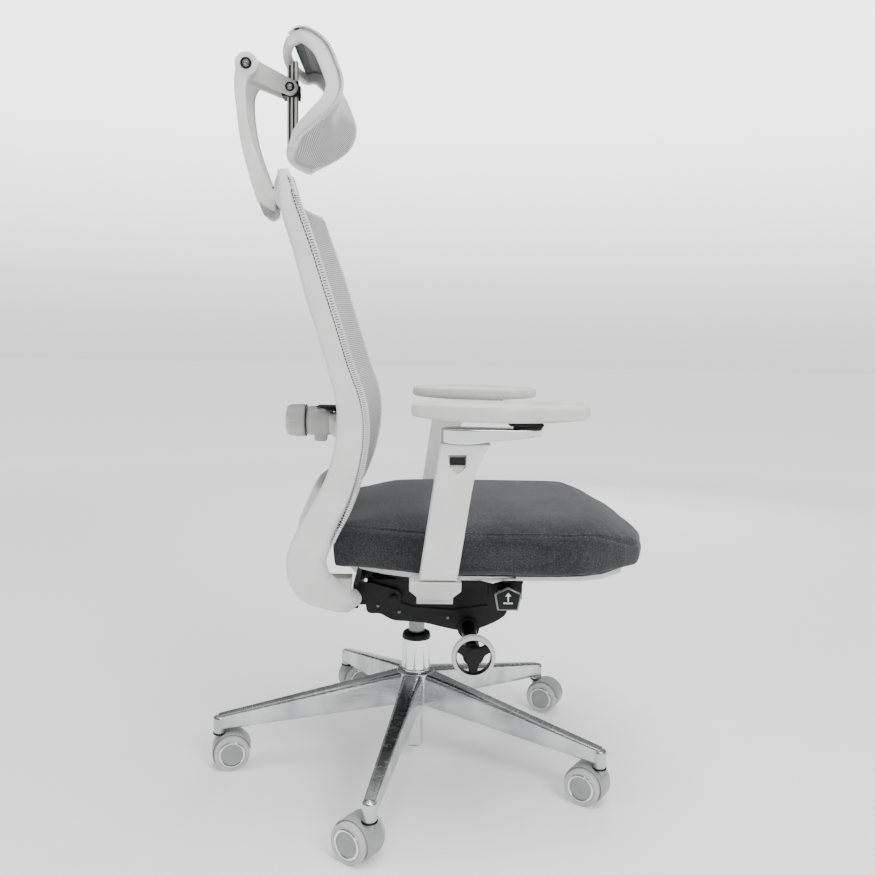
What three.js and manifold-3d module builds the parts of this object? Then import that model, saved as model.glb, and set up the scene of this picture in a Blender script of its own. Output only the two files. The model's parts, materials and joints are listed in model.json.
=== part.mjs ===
// Swivel office chair: five-star base on twin-wheel casters, gas lift, synchro-tilt mechanism,
// upholstered seat, adjustable arms, mesh back with lumbar unit, and an adjustable headrest.
// Millimetres, +Z up. The origin is on the column's axis at the floor, the sitter faces -Y,
// and the sitter's right hand is at -X.
import * as THREE from 'three';
import { mergeVertices } from 'three/addons/utils/BufferGeometryUtils.js';
import Module from 'manifold-3d';

const wasm = await Module();
wasm.setup();

// ---------- Driving dimensions ----------
const gap = 0.4; // between faces that touch on the real chair
const slip = 0.35; // radial play of a pin or tube in its bore

// casters
const wheelRadius = 30;
const wheelWidth = 20;
const casterHalfWidth = 28;
const casterTrail = 20;
const hoodGap = 1.3;
const hoodWall = 1.8;
const hoodHalfWidth = 18.5;
const axleRadius = 4;
const stemRadius = 5.5;
const casterCount = 5;
const casterTurns = [-78, 55, 56, -118, -66]; // where each caster trails, degrees

// five-star base
const baseRadius = 342; // column axis to caster stem
const firstArmAngle = 97.2;
const tipHeight = 34; // boss that takes the stem
const tipRadius = 10.5;
const armDepthAtTip = 26;
const armDepthAtHub = 58;
const armWidthAtHub = 36;
const armWidthAtTip = 20;
const armRise = 71; // top of the tip to top of the hub
const hubHeight = 61;
const hubRadius = 33;

// gas lift
const tubeRadius = 25;
const tubeShown = 57; // tube above the hub
const stubRadius = 15.4;
const stubDrop = 76; // stub below the hub
const rodRadius = 14;
const rodShown = 42; // rod between the tube's cap and the mechanism
const capHeight = 11;
const liftTravel = 100;
const pistonRodRadius = 5;
const clipRadius = 12;

// tilt mechanism
const housingHalf = 78;
const housingRise = 84; // underside at the rod to the top at the front
const housingWall = 8;
const socketDepth = 56;
const flangeThick = 3;
const yokeThick = 5;
const seatAxle = { y: -125, up: 68 };
const backAxle = { y: 40, up: 42 };
const axlePinRadius = 6;
const springRadius = 19;
const springWire = 7;
const springTurns = 4;
const knobReach = 230; // tension wheel's face from the column
const knobRadius = 34;
const knobDepth = 14;
const knobAt = { y: -87, up: -11 };
const knobShaftRadius = 12.5;
const knobSocket = 3.6; // depth of the socket in the wheel that takes the shaft
const knobSpokes = 3;

// seat
const panThick = 16;
const cushionSide = 74; // height of the cushion's border
const cushionCrown = 106; // height of the cushion at its highest
const seatHalf = 250;
const seatHalfRear = 206;
const seatFront = -362;
const seatRear = 135;
const panInset = 24;

// arms
const armSpread = 26; // cushion's side to the sleeve
const sleeveThick = 36;
const sleeveWidth = 54;
const sleeveHeight = 196;
const armLean = 8; // degrees forward
const postThick = 18;
const postWidth = 36;
const postSlip = 0.6; // between the post and the sleeve
const sleeveLift = 13; // sleeve's lower end above the pan
const footWidth = 74;
const linkHeight = 21;
const linkHubRadius = 33;
const linkReach = 90; // hub's axis to the pad's pivot
const padLength = 256;
const padWidth = 98;
const padThick = 29;
const plateHeight = 9;

// back
const backHalf = 235; // side members' centre lines from the middle
const memberThick = 34;
const meshThick = 3;
const meshEdge = 7; // thickness of the net's edge on the side members
const meshCorner = 0.35; // how far the net's upper corners are rounded off
const meshBow = 24;
const barBow = 30;
const knobLumbarRadius = 28.5;
const knobLumbarDepth = 34;
const lumbarHeight = 605;

// headrest
const headHalf = 150;
const headBow = 16;
const forkHalf = 40;
const forkThick = 12;
const railHalf = 8;
const linkHalf = 27;
const linkWall = 9;
const headSlide = 25;

// ---------- Heights and places that follow ----------
const axleHeight = wheelRadius;
const hoodRadius = wheelRadius + hoodGap + hoodWall;
const collarHeight = wheelRadius * 2 - 1; // top of the caster's neck
const tipTop = collarHeight + gap + tipHeight;
const hubTop = tipTop + armRise;
const hubBottom = hubTop - hubHeight;
const tubeTop = hubTop + tubeShown;
const capTop = tubeTop + gap + capHeight;
const housingBottom = capTop + rodShown;
const housingTop = housingBottom + housingRise;
const panBottom = housingTop + 16;
const cushionBottom = panBottom + panThick + gap;
const armX = seatHalf + armSpread + sleeveThick / 2;
const sleeveBottom = panBottom + panThick + sleeveLift;
const sleeveTop = sleeveBottom + sleeveHeight;
const frameShift = panBottom - 375; // the back's outline is drawn for a pan 375 above the floor
const backWide = backHalf - 235; // and for a back 235 to either side

// ---------- Making closed bodies ----------

// Welds the corners, drops empty triangles and turns the faces outwards.
function weld(geometry) {
  const bare = geometry.clone();
  for (const name of Object.keys(bare.attributes)) if (name !== 'position') bare.deleteAttribute(name);
  const merged = mergeVertices(bare, 1e-3);
  const place = merged.attributes.position;
  const index = merged.index.array;
  const kept = [];
  let volume = 0;
  const [a, b, c] = [new THREE.Vector3(), new THREE.Vector3(), new THREE.Vector3()];
  for (let i = 0; i < index.length; i += 3) {
    const [p, q, r] = [index[i], index[i + 1], index[i + 2]];
    if (p === q || q === r || r === p) continue;
    kept.push(p, q, r);
    a.fromBufferAttribute(place, p);
    b.fromBufferAttribute(place, q);
    c.fromBufferAttribute(place, r);
    volume += a.dot(b.cross(c));
  }
  if (volume < 0) for (let i = 0; i < kept.length; i += 3) [kept[i], kept[i + 1]] = [kept[i + 1], kept[i]];
  merged.setIndex(kept);
  return merged;
}

function toSolid(geometry) {
  const g = weld(geometry);
  const vertProperties = new Float32Array(g.attributes.position.array);
  const triVerts = new Uint32Array(g.index.array);
  return new wasm.Manifold(new wasm.Mesh({ numProp: 3, vertProperties, triVerts }));
}

function toGeometry(solid) {
  const mesh = solid.getMesh();
  const g = new THREE.BufferGeometry();
  g.setAttribute('position', new THREE.BufferAttribute(new Float32Array(mesh.vertProperties), 3));
  g.setIndex(new THREE.BufferAttribute(new Uint32Array(mesh.triVerts), 1));
  return g;
}

const join = (...pieces) => toGeometry(pieces.map(toSolid).reduce((sum, next) => sum.add(next)));
function cut(body, ...tools) {
  return toGeometry(tools.map(toSolid).reduce((left, tool) => left.subtract(tool), toSolid(body)));
}
const common = (one, other) => toGeometry(toSolid(one).intersect(toSolid(other)));

// ---------- Plain shapes ----------

function box(x0, x1, y0, y1, z0, z1) {
  const shape = new THREE.BoxGeometry(x1 - x0, y1 - y0, z1 - z0);
  return shape.translate((x0 + x1) / 2, (y0 + y1) / 2, (z0 + z1) / 2);
}

// A profile of [radius, height] pairs turned about Z.
function turned(profile, sides = 24) {
  const points = profile.map(([r, z]) => new THREE.Vector2(r, z));
  return weld(new THREE.LatheGeometry(points, sides).rotateX(Math.PI / 2));
}

const closedRing = (profile) => [...profile, profile[0]];

// A cylinder along X, Y or Z between two places on that axis.
function rod(axis, radius, from, to, sides = 16) {
  const shape = new THREE.CylinderGeometry(radius, radius, to - from, sides).translate(0, (from + to) / 2, 0);
  if (axis === 'x') shape.rotateZ(-Math.PI / 2);
  if (axis === 'z') shape.rotateX(Math.PI / 2);
  return shape;
}

// An outline in the plane across X, as [y, z] pairs, given a thickness along X.
function sidePlate(outline, x0, x1, bevel = 0) {
  const shape = new THREE.Shape(outline.map(([y, z]) => new THREE.Vector2(y, z)));
  const plate = new THREE.ExtrudeGeometry(shape, {
    depth: x1 - x0 - 2 * bevel,
    bevelEnabled: bevel > 0,
    bevelThickness: bevel,
    bevelSize: bevel,
    bevelOffset: -bevel,
    bevelSegments: 1,
    curveSegments: 6,
  });
  plate.translate(0, 0, x0 + bevel);
  const turn = new THREE.Matrix4().set(0, 0, 1, 0, 1, 0, 0, 0, 0, 1, 0, 0, 0, 0, 0, 1);
  return plate.applyMatrix4(turn);
}

// An outline seen from above, as a Shape in X and Y, given a height along Z.
function flatPlate(shape, z0, z1) {
  const plate = new THREE.ExtrudeGeometry(shape, { depth: z1 - z0, bevelEnabled: false, curveSegments: 8 });
  return plate.translate(0, 0, z0);
}

// Moves every corner of a shape by a rule.
function warp(shape, rule) {
  const place = shape.attributes.position;
  const v = new THREE.Vector3();
  for (let i = 0; i < place.count; i += 1) {
    v.fromBufferAttribute(place, i);
    const to = rule(v.x, v.y, v.z);
    place.setXYZ(i, to[0], to[1], to[2]);
  }
  return weld(shape);
}

const rounded = (value, power) => Math.sign(value) * Math.abs(value) ** power;

// The line through a row of stations {x, y, z, w, t}: w is the width across it, t the thickness beside it.
function lineThrough(stations) {
  const points = stations.map((s) => new THREE.Vector3(s.x, s.y, s.z));
  const path = new THREE.CatmullRomCurve3(points, false, 'centripetal');
  const sizes = new THREE.SplineCurve(stations.map((s) => new THREE.Vector2(s.w, s.t)));
  return (u) => {
    const at = path.getPoint(u);
    const along = path.getTangent(u);
    return { at, along, size: sizes.getPoint(u) };
  };
}

// A bar of rounded section along a line. "side" is the direction that its thickness lies nearest to.
function loft(stations, steps, side = new THREE.Vector3(1, 0, 0), sides = 8) {
  const line = lineThrough(stations);
  const bar = new THREE.CylinderGeometry(1, 1, 1, sides, steps, false, Math.PI / sides);
  return warp(bar, (x, y, z) => {
    const { at, along, size } = line(Math.min(Math.max(0.5 - y, 0), 1));
    const across = new THREE.Vector3().crossVectors(side, along).normalize();
    const beside = new THREE.Vector3().crossVectors(along, across).normalize();
    at.addScaledVector(across, (rounded(x, 0.5) * size.x) / 2);
    at.addScaledVector(beside, (rounded(z, 0.5) * size.y) / 2);
    return at.toArray();
  });
}

// ---------- Finishes ----------
function finish(color, roughness, metalness) {
  return () => new THREE.MeshStandardMaterial({ color, roughness, metalness });
}
const polished = finish(0xb9bbbd, 0.28, 1);
const chrome = finish(0xe2e3e4, 0.08, 1);
const steel = finish(0x8f9193, 0.4, 1);
const blackPlastic = finish(0x141415, 0.55, 0);
const blackSteel = finish(0x1b1b1c, 0.45, 0.3);
const greyPlastic = finish(0xc4c4c3, 0.5, 0);
const whitePlastic = finish(0xe4e4e2, 0.45, 0);
const tread = finish(0xb4b4b3, 0.7, 0);
const padSkin = finish(0xd9d9d7, 0.6, 0);
const cloth = finish(0x4a4b4d, 0.95, 0);
const netting = finish(0xd2d3d4, 0.85, 0);

function piece(name, geometry, material) {
  const mesh = new THREE.Mesh(geometry, material());
  mesh.name = name;
  return mesh;
}

function group(...children) {
  const g = new THREE.Group();
  g.add(...children);
  return g;
}

const radians = THREE.MathUtils.degToRad;

// ---------- Casters ----------
// Each is made with its stem on Z and its axle along X, trailing towards +Y.

const wheelSides = 20;
const wheelInside = casterHalfWidth - wheelWidth;
const axleReach = wheelInside + 13;

// The wheel stands on a flat of its rim. Its blind bore takes half of the axle.
function wheelShape() {
  const corner = wheelRadius / Math.cos(Math.PI / wheelSides);
  const bore = axleRadius + slip;
  const depth = axleReach - wheelInside + gap;
  const profile = [[0, wheelWidth], [corner - 4, wheelWidth], [corner, wheelWidth - 4], [corner, 0],
    [bore, 0], [bore, depth], [0, depth]];
  const shape = turned(profile, wheelSides);
  return shape.rotateZ(Math.PI / wheelSides).translate(0, 0, wheelInside);
}

function hoodShape() {
  const inner = hoodRadius - hoodWall;
  const [from, to] = [radians(8), radians(215)];
  const arc = new THREE.Shape();
  arc.absarc(0, 0, hoodRadius, from, to, false);
  arc.absarc(0, 0, inner, to, from, true);
  const options = { depth: 2 * hoodHalfWidth, bevelEnabled: false, curveSegments: 5 };
  const shell = new THREE.ExtrudeGeometry(arc, options);
  shell.translate(0, 0, -hoodHalfWidth);
  const web = rod('z', wheelRadius - 4, 1 - wheelInside, wheelInside - 1, 12);
  const tie = box(-hoodRadius * 0.75, 8, 0, hoodRadius - hoodWall / 2, 1 - wheelInside, wheelInside - 1);
  const tieInRing = common(tie, rod('z', inner + hoodWall / 2, -casterHalfWidth, casterHalfWidth, 20));
  const turn = new THREE.Matrix4().set(0, 0, 1, 0, 1, 0, 0, casterTrail, 0, 1, 0, axleHeight, 0, 0, 0, 1);
  return [shell, web, tieInRing].map((part) => part.applyMatrix4(turn));
}

function housingShape() {
  const clear = cut(join(...hoodShape()), rod('z', tipRadius + 1.5, collarHeight, hoodRadius * 3, 12));
  const axle = rod('x', axleRadius, -axleReach, axleReach, 10).translate(0, casterTrail, axleHeight);
  const round = rod('x', hoodRadius - hoodWall / 2, -hoodRadius, hoodRadius, 20);
  round.translate(0, casterTrail, axleHeight);
  const neck = cut(rod('z', tipRadius - 1, axleHeight + 8, collarHeight, 12), round);
  const stem = rod('z', stemRadius, collarHeight - 1, collarHeight + tipHeight - 4, 8);
  return join(clear, axle, neck, stem);
}

function caster(index) {
  const turn = radians(firstArmAngle + (index * 360) / casterCount);
  const wheel = wheelShape();
  const right = wheel.clone().rotateY(Math.PI / 2).translate(0, casterTrail, axleHeight);
  const left = wheel.clone().rotateY(-Math.PI / 2).translate(0, casterTrail, axleHeight);
  const g = group(
    piece(`caster_${index + 1}_housing`, housingShape(), greyPlastic),
    piece(`caster_${index + 1}_wheel_a`, right, tread),
    piece(`caster_${index + 1}_wheel_b`, left, tread),
  );
  g.position.set(baseRadius * Math.cos(turn), baseRadius * Math.sin(turn), 0);
  g.rotation.z = radians(casterTurns[index] - 90);
  return g;
}

// ---------- Base and gas lift ----------

// The tube narrows through the hub and goes on below it as a stub.
const tubeOutline = (grow) => [
  [stubRadius + grow, hubBottom - stubDrop],
  [stubRadius + grow, hubBottom + 4],
  [tubeRadius - 3 + grow, hubBottom + 12],
  [tubeRadius - 0.5 + grow, hubTop - 6],
  [tubeRadius + grow, hubTop - 2],
  [tubeRadius + grow, tubeTop],
];

function baseShape() {
  const hub = turned([[0, hubBottom], [hubRadius - 3, hubBottom], [hubRadius, hubBottom + 5],
    [hubRadius, hubTop - 3], [hubRadius - 3, hubTop], [0, hubTop]], 24);
  const parts = [hub];
  const sockets = [turned([[0, hubBottom - stubDrop], ...tubeOutline(slip), [0, tubeTop]], 24)];
  for (let i = 0; i < casterCount; i += 1) {
    const turn = radians(firstArmAngle + (i * 360) / casterCount);
    const arm = warp(new THREE.BoxGeometry(1, 1, 1), (x, y, z) => {
      const out = x + 0.5;
      const radius = THREE.MathUtils.lerp(hubRadius * 0.6, baseRadius, out);
      const width = THREE.MathUtils.lerp(armWidthAtHub, armWidthAtTip, out);
      const top = THREE.MathUtils.lerp(hubTop - 1, tipTop, out);
      const depth = THREE.MathUtils.lerp(armDepthAtHub, armDepthAtTip, out);
      return [radius, y * width, z > 0 ? top : top - depth];
    });
    const boss = rod('z', tipRadius, collarHeight + gap, tipTop, 12).translate(baseRadius, 0, 0);
    const socket = rod('z', stemRadius + slip, collarHeight - 1, collarHeight + tipHeight - 4 + gap, 10);
    parts.push(arm.rotateZ(turn), boss.rotateZ(turn));
    sockets.push(socket.translate(baseRadius, 0, 0).rotateZ(turn));
  }
  return cut(join(...parts), ...sockets);
}

function liftTube() {
  const bore = rodRadius + slip;
  const floor = hubBottom - stubDrop;
  const profile = [[pistonRodRadius + slip, floor], ...tubeOutline(0), [bore, tubeTop], [bore, floor + 3],
    [pistonRodRadius + slip, floor + 3]];
  return turned(closedRing(profile), 24);
}

function guideCap() {
  const bore = rodRadius + slip;
  const low = tubeTop + gap;
  const wide = tubeRadius - 0.5;
  const profile = [[bore, low], [wide, low], [wide, capTop - 4], [wide - 2.5, capTop], [bore, capTop]];
  return turned(closedRing(profile));
}

// The gas cylinder rises from the tube. Its bore is open below, where the piston rod goes in.
const cylinderFoot = hubBottom - stubDrop + 7;
const cylinderTop = housingBottom + socketDepth;
function gasCylinder() {
  const bore = pistonRodRadius + 6;
  const roof = cylinderFoot + liftTravel + 50;
  return turned([[0, roof], [bore, roof], [bore, cylinderFoot], [rodRadius, cylinderFoot],
    [rodRadius, housingBottom], [rodRadius - 1, cylinderTop], [0, cylinderTop]], 20);
}

function pistonRod() {
  const foot = hubBottom - stubDrop - 6;
  const head = cylinderFoot + liftTravel + 40;
  const piston = pistonRodRadius + 5.5;
  return turned([[0, foot], [pistonRodRadius, foot], [pistonRodRadius, head - 10], [piston, head - 10],
    [piston, head], [0, head]], 14);
}

function retainingClip() {
  const top = hubBottom - stubDrop - gap;
  const bore = pistonRodRadius + slip;
  return turned(closedRing([[bore, top - 3], [clipRadius, top - 3], [clipRadius, top], [bore, top]]), 16);
}

// ---------- Tilt mechanism ----------

const seatAxleZ = housingBottom + seatAxle.up;
const backAxleZ = housingBottom + backAxle.up;
const knobZ = housingBottom + knobAt.up;

function mechanismHousing() {
  const low = housingBottom;
  const outline = [[-140, housingTop - 2], [-153, low + 45], [-149, low + 12], [-124, low - 1],
    [-104, low - 11], [-76, low - 12], [-39, low - 7], [-14, low], [40, low + 4], [66, low + 15],
    [85, low + 17], [85, housingTop - 12]];
  const body = sidePlate(outline, -housingHalf, housingHalf, 4);
  const boss = rod('x', knobShaftRadius + 6, -housingHalf - 6, -housingHalf + 24, 16);
  const inside = housingHalf - housingWall;
  const front = box(-inside, inside, -138, -rodRadius - 10, low + 2, housingTop + 1);
  const rear = box(-inside, inside, rodRadius + 10, 77, low + 26, housingTop + 1);
  const socket = turned([[0, low - 20], [rodRadius + slip, low - 20], [rodRadius + slip, low],
    [rodRadius - 1 + slip, cylinderTop + gap], [0, cylinderTop + gap]], 20);
  const shaft = rod('x', knobShaftRadius + slip, -housingHalf - 10, 30 - housingHalf, 16);
  const knobPlace = [0, knobAt.y, knobZ];
  const holder = join(body, boss.translate(...knobPlace));
  return cut(holder, front, rear, socket, shaft.translate(...knobPlace), seatBore(), backBore());
}

const pin = (reach) => rod('x', axlePinRadius, -reach, reach, 12);
const boreX = (radius, y, z) => rod('x', radius + slip, -seatHalf, seatHalf, 12).translate(0, y, z);
const seatBore = () => boreX(axlePinRadius, seatAxle.y, seatAxleZ);
const backBore = () => boreX(axlePinRadius, backAxle.y, backAxleZ);

// A coil of round wire lying along X in the front of the housing.
function tiltSpring() {
  const length = 96;
  const steps = springTurns * 8;
  class Coil extends THREE.Curve {
    getPoint(u, target = new THREE.Vector3()) {
      const turn = u * springTurns * 2 * Math.PI;
      return target.set((u - 0.5) * length, springRadius * Math.cos(turn), springRadius * Math.sin(turn));
    }
  }
  const wire = new THREE.Shape();
  wire.absarc(0, 0, springWire / 2, 0, 2 * Math.PI, false);
  const options = { steps, curveSegments: 3, bevelEnabled: false, extrudePath: new Coil() };
  const coil = new THREE.ExtrudeGeometry(wire, options);
  return coil.translate(8, -86, housingBottom + 8 + springRadius + springWire);
}

function tensionShaft() {
  const shaft = rod('x', knobShaftRadius, knobDepth - knobSocket + gap - knobReach, -housingHalf + 22, 14);
  return shaft.translate(0, knobAt.y, knobZ);
}

// A rim on three spokes, which meet at a hub on the shaft's end.
function tensionWheel() {
  const [r, d] = [knobRadius, knobDepth];
  const rim = turned(closedRing([[r - 6, 0], [r - 2, 0], [r, 2], [r, d - 2], [r - 2, d], [r - 6, d]]), 22);
  const parts = [rim, rod('z', 11, -5, d - 4, 12)];
  for (let i = 0; i < knobSpokes; i += 1) {
    const spoke = warp(new THREE.BoxGeometry(1, 1, 1), (x, y, z) => {
      const out = x + 0.5;
      const width = THREE.MathUtils.lerp(15, 8, out);
      return [THREE.MathUtils.lerp(4, r - 4, out), y * width, (z + 0.5) * (d - 4)];
    });
    parts.push(spoke.rotateZ(radians(90 + (i * 360) / knobSpokes)));
  }
  const bore = rod('z', knobShaftRadius + gap, -20, knobSocket, 14);
  const whole = cut(join(...parts, rod('z', knobShaftRadius + 4, -4, 6, 16)), bore);
  return whole.rotateY(-Math.PI / 2).translate(knobDepth - knobReach, knobAt.y, knobZ);
}

// ---------- Seat ----------

const plateTop = panBottom - gap;
const plateLow = plateTop - 4;
const paddleY = -136;
const paddleZ = panBottom - 15;
const paddleAxleX = seatHalf - 53;

// A plate over the mechanism with a cheek down each side of it, and a block for each paddle.
function seatCarrier() {
  const cheekFace = housingHalf + 1;
  const half = cheekFace + flangeThick;
  const plate = box(-half, half, -165, 95, plateLow, plateTop);
  const cross = box(-paddleAxleX + 4, paddleAxleX - 4, -164, -108, plateLow, plateTop);
  const parts = [plate, cross];
  for (const side of [-1, 1]) {
    const cheek = sidePlate([[-160, plateTop - 1], [-160, seatAxleZ - 4], [-140, seatAxleZ - 18],
      [-108, seatAxleZ - 18], [20, plateLow - 26], [70, plateLow - 12], [70, plateTop - 1]],
    cheekFace, half);
    if (side < 0) cheek.rotateZ(Math.PI).scale(1, -1, 1);
    const block = box(paddleAxleX - 24, paddleAxleX, -162, -110, paddleZ - 12, plateTop);
    if (side < 0) block.rotateZ(Math.PI).translate(0, 2 * paddleY, 0);
    parts.push(weld(cheek), block);
  }
  return cut(join(...parts), seatBore());
}

// Five-sided handle on a short stem, for the fingers under the seat's edge.
function paddle(side) {
  const corners = [[0, 17], [21, 7], [16, -19], [-16, -19], [-21, 7]];
  const face = corners.map(([y, z]) => [paddleY + y, paddleZ + z]);
  const plate = sidePlate(face, paddleAxleX + 36, paddleAxleX + 44, 1.5);
  const stem = box(paddleAxleX + 1.2, paddleAxleX + 37, paddleY - 13, paddleY + 13, paddleZ - 5, paddleZ + 5);
  const whole = join(plate, stem);
  return side < 0 ? whole.rotateZ(Math.PI).translate(0, 2 * paddleY, 0) : whole;
}

// Half width of the seat at a place along it: full in front, narrower between the back's members.
function seatHalfAt(y, inset) {
  const narrow = THREE.MathUtils.smoothstep(y, -40, seatRear - 20);
  const nose = THREE.MathUtils.smoothstep(-y, -seatFront - 120, -seatFront);
  return THREE.MathUtils.lerp(seatHalf, seatHalfRear, narrow) - nose * 16 - inset;
}

// A slab with rounded corners, whose top and bottom follow two rules of place.
function seatSlab(inset, across, along, tall, low, high, bulge) {
  const shape = new THREE.BoxGeometry(2, 2, 2, across, along, tall);
  return warp(shape, (x, y, z) => {
    const u = x * Math.sqrt(1 - 0.34 * y ** 4);
    const v = y * Math.sqrt(1 - 0.16 * x ** 4);
    const middle = (seatFront + seatRear) / 2;
    const place = middle + v * ((seatRear - seatFront) / 2 - inset);
    const swell = 1 + bulge * (1 - z * z);
    const half = seatHalfAt(place, inset);
    const [bottom, top] = [low(u, place), high(u, place)];
    return [u * half * swell, middle + (place - middle) * swell, bottom + ((z + 1) / 2) * (top - bottom)];
  });
}

// The underside lifts towards the front edge.
const noseRise = (y) => 7 * THREE.MathUtils.smoothstep(-y, -seatFront - 110, -seatFront - 10);
function cushion() {
  const low = (u, y) => cushionBottom + noseRise(y);
  const high = (u, y) => {
    const rear = THREE.MathUtils.smoothstep(y, seatRear - 110, seatRear + 20);
    const crown = (1 - Math.abs(u) ** 3.2) * (1 - rear);
    const fall = THREE.MathUtils.smoothstep(-y, -seatFront - 106, -seatFront + 12);
    const side = cushionBottom + cushionSide - 10;
    return side + (cushionCrown - cushionSide + 10) * crown * (1 - 0.75 * fall) - 24 * fall;
  };
  return seatSlab(2, 8, 12, 2, low, high, 0.016);
}

function seatPan() {
  const low = (u, y) => panBottom + noseRise(y) + 4 * Math.abs(u) ** 6;
  const high = (u, y) => panBottom + panThick - 0.4 + Math.max(noseRise(y) - 1.5, 0);
  return seatSlab(panInset, 4, 12, 1, low, high, 0);
}

// ---------- Arms ----------
// Everything is made for the side at +X and mirrored through the middle for the other.

const lean = Math.tan(radians(armLean));
const footY = -24;
const leanAt = (z) => footY - 4 - (z - sleeveBottom) * lean;
const linkLow = sleeveTop + gap;
const linkHigh = linkLow + linkHeight;
const hubY = leanAt(sleeveTop) - 6;
const pivotY = hubY - linkReach;
const plateBase = linkHigh + gap;
const padLow = plateBase + plateHeight + gap;
const padCentreY = pivotY + 39;

function mirrored(geometry, side) {
  return side > 0 ? geometry : weld(geometry.scale(-1, 1, 1));
}

function armBracket() {
  const [y0, y1] = [footY - footWidth / 2, footY + footWidth / 2];
  const low = panBottom + 3;
  const high = sleeveBottom - gap - 1;
  const outline = [[y0, high], [y0, low + 12], [y0 + 15, low], [y1 - 15, low], [y1, low + 12], [y1, high]];
  const foot = sidePlate(outline, armX - sleeveThick / 2 - 4, armX + sleeveThick / 2 + 4, 2);
  const plate = box(housingHalf + 12, armX + 2, footY - 26, footY + 26, plateTop - 6.5, plateTop);
  const riser = box(seatHalf + 6, armX + 8, footY - 26, footY + 26, plateTop - 6.5, low + 8);
  const reach = sleeveTop - sleeveBottom - 40;
  const top = sleeveBottom + reach;
  const outer = [[leanAt(low + 8) - postWidth / 2, low + 8], [leanAt(low + 8) + postWidth / 2, low + 8],
    [leanAt(top) + postWidth / 2, top], [leanAt(top) - postWidth / 2, top]];
  const post = sidePlate(outer, armX - postThick / 2, armX + postThick / 2);
  return join(foot, plate, riser, post);
}

function armSleeve() {
  const half = sleeveWidth / 2;
  const [low, high] = [sleeveBottom, sleeveTop];
  const outline = [[leanAt(low) - half, low], [leanAt(low) + half, low], [leanAt(high) + half + 1, high],
    [leanAt(high) - half - 15, high], [leanAt(high) - half - 7, high - 10],
    [leanAt(high - 30) - half - 1, high - 30], [leanAt(high - 60) - half, high - 60]];
  const body = sidePlate(outline, armX - sleeveThick / 2, armX + sleeveThick / 2, 3);
  const top = high - 30;
  const room = postWidth / 2 + postSlip;
  const roomX = postThick / 2 + postSlip;
  const below = leanAt(low - 20);
  const hollow = sidePlate([[below - room, low - 20], [below + room, low - 20], [leanAt(top) + room, top],
    [leanAt(top) - room, top]], armX - roomX, armX + roomX);
  return cut(body, hollow, buttonRecess());
}

const buttonZ = () => sleeveTop - 24;
function buttonRecess() {
  const [y, z] = [leanAt(buttonZ()), buttonZ()];
  return sidePlate([[y - 12, z + 6], [y - 11, z - 8], [y, z - 16], [y + 11, z - 8], [y + 12, z + 6]],
    armX + sleeveThick / 2 - 7, armX + sleeveThick / 2 + 5);
}

function armButton() {
  const [y, z] = [leanAt(buttonZ()), buttonZ()];
  return sidePlate([[y - 11.4, z + 5.4], [y - 10.6, z - 6], [y + 10.6, z - 6], [y + 11.4, z + 5.4]],
    armX + sleeveThick / 2 - 4.4, armX + sleeveThick / 2 - 1.4);
}

// The swing arm: a wide round hub that tapers to the pad's pivot, and rises towards it.
function armLink() {
  const rear = hubY + linkHubRadius;
  const side = sidePlate([[rear, linkLow], [rear, linkHigh - 5], [hubY, linkHigh - 4],
    [hubY - 45, linkHigh - 3], [pivotY + 34, linkHigh], [pivotY - 24, linkHigh],
    [pivotY - 24, linkHigh - 12], [hubY - 42, linkLow + 2], [hubY - 30, linkLow]], armX - 40, armX + 40);
  const plan = new THREE.Shape();
  plan.absellipse(armX, hubY, linkHubRadius - 7, linkHubRadius, radians(-15), radians(195), false);
  plan.absarc(armX, pivotY - 2, 18, radians(200), radians(340), false);
  return common(side, flatPlate(plan, linkLow - 5, linkHigh + 5));
}

function padPlate() {
  const plan = new THREE.Shape();
  plan.moveTo(armX - 26, pivotY - 22);
  plan.lineTo(armX + 26, pivotY - 22);
  plan.lineTo(armX + 26, pivotY + 30);
  plan.lineTo(armX - 26, pivotY + 30);
  return flatPlate(plan, plateBase, plateBase + plateHeight);
}

// A long lens, flatter below than on its edge.
function armPad() {
  const ball = new THREE.SphereGeometry(1, 20, 8).rotateX(Math.PI / 2);
  return warp(ball, (x, y, z) => {
    const flat = Math.sqrt(Math.max(1 - z * z, 0));
    const u = flat > 1e-6 ? rounded(x / flat, 0.8) : 0;
    const v = flat > 1e-6 ? rounded(y / flat, 0.8) : 0;
    const spread = rounded(flat, 0.55);
    const height = rounded(z, 0.8) * (1 - 0.3 * (spread * v) ** 2);
    const across = armX + (spread * u * padWidth) / 2;
    return [across, padCentreY + (spread * v * padLength) / 2, padLow + (padThick / 2) * (1 + height)];
  });
}

function arm(side, word) {
  return group(
    piece(`arm_bracket_${word}`, mirrored(armBracket(), side), greyPlastic),
    piece(`arm_sleeve_${word}`, mirrored(armSleeve(), side), whitePlastic),
    piece(`arm_button_${word}`, mirrored(armButton(), side), blackPlastic),
    piece(`arm_link_${word}`, mirrored(armLink(), side), chrome),
    piece(`arm_pad_plate_${word}`, mirrored(padPlate(), side), blackPlastic),
    piece(`arm_pad_${word}`, mirrored(armPad(), side), padSkin),
  );
}

// ---------- Back ----------

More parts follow.
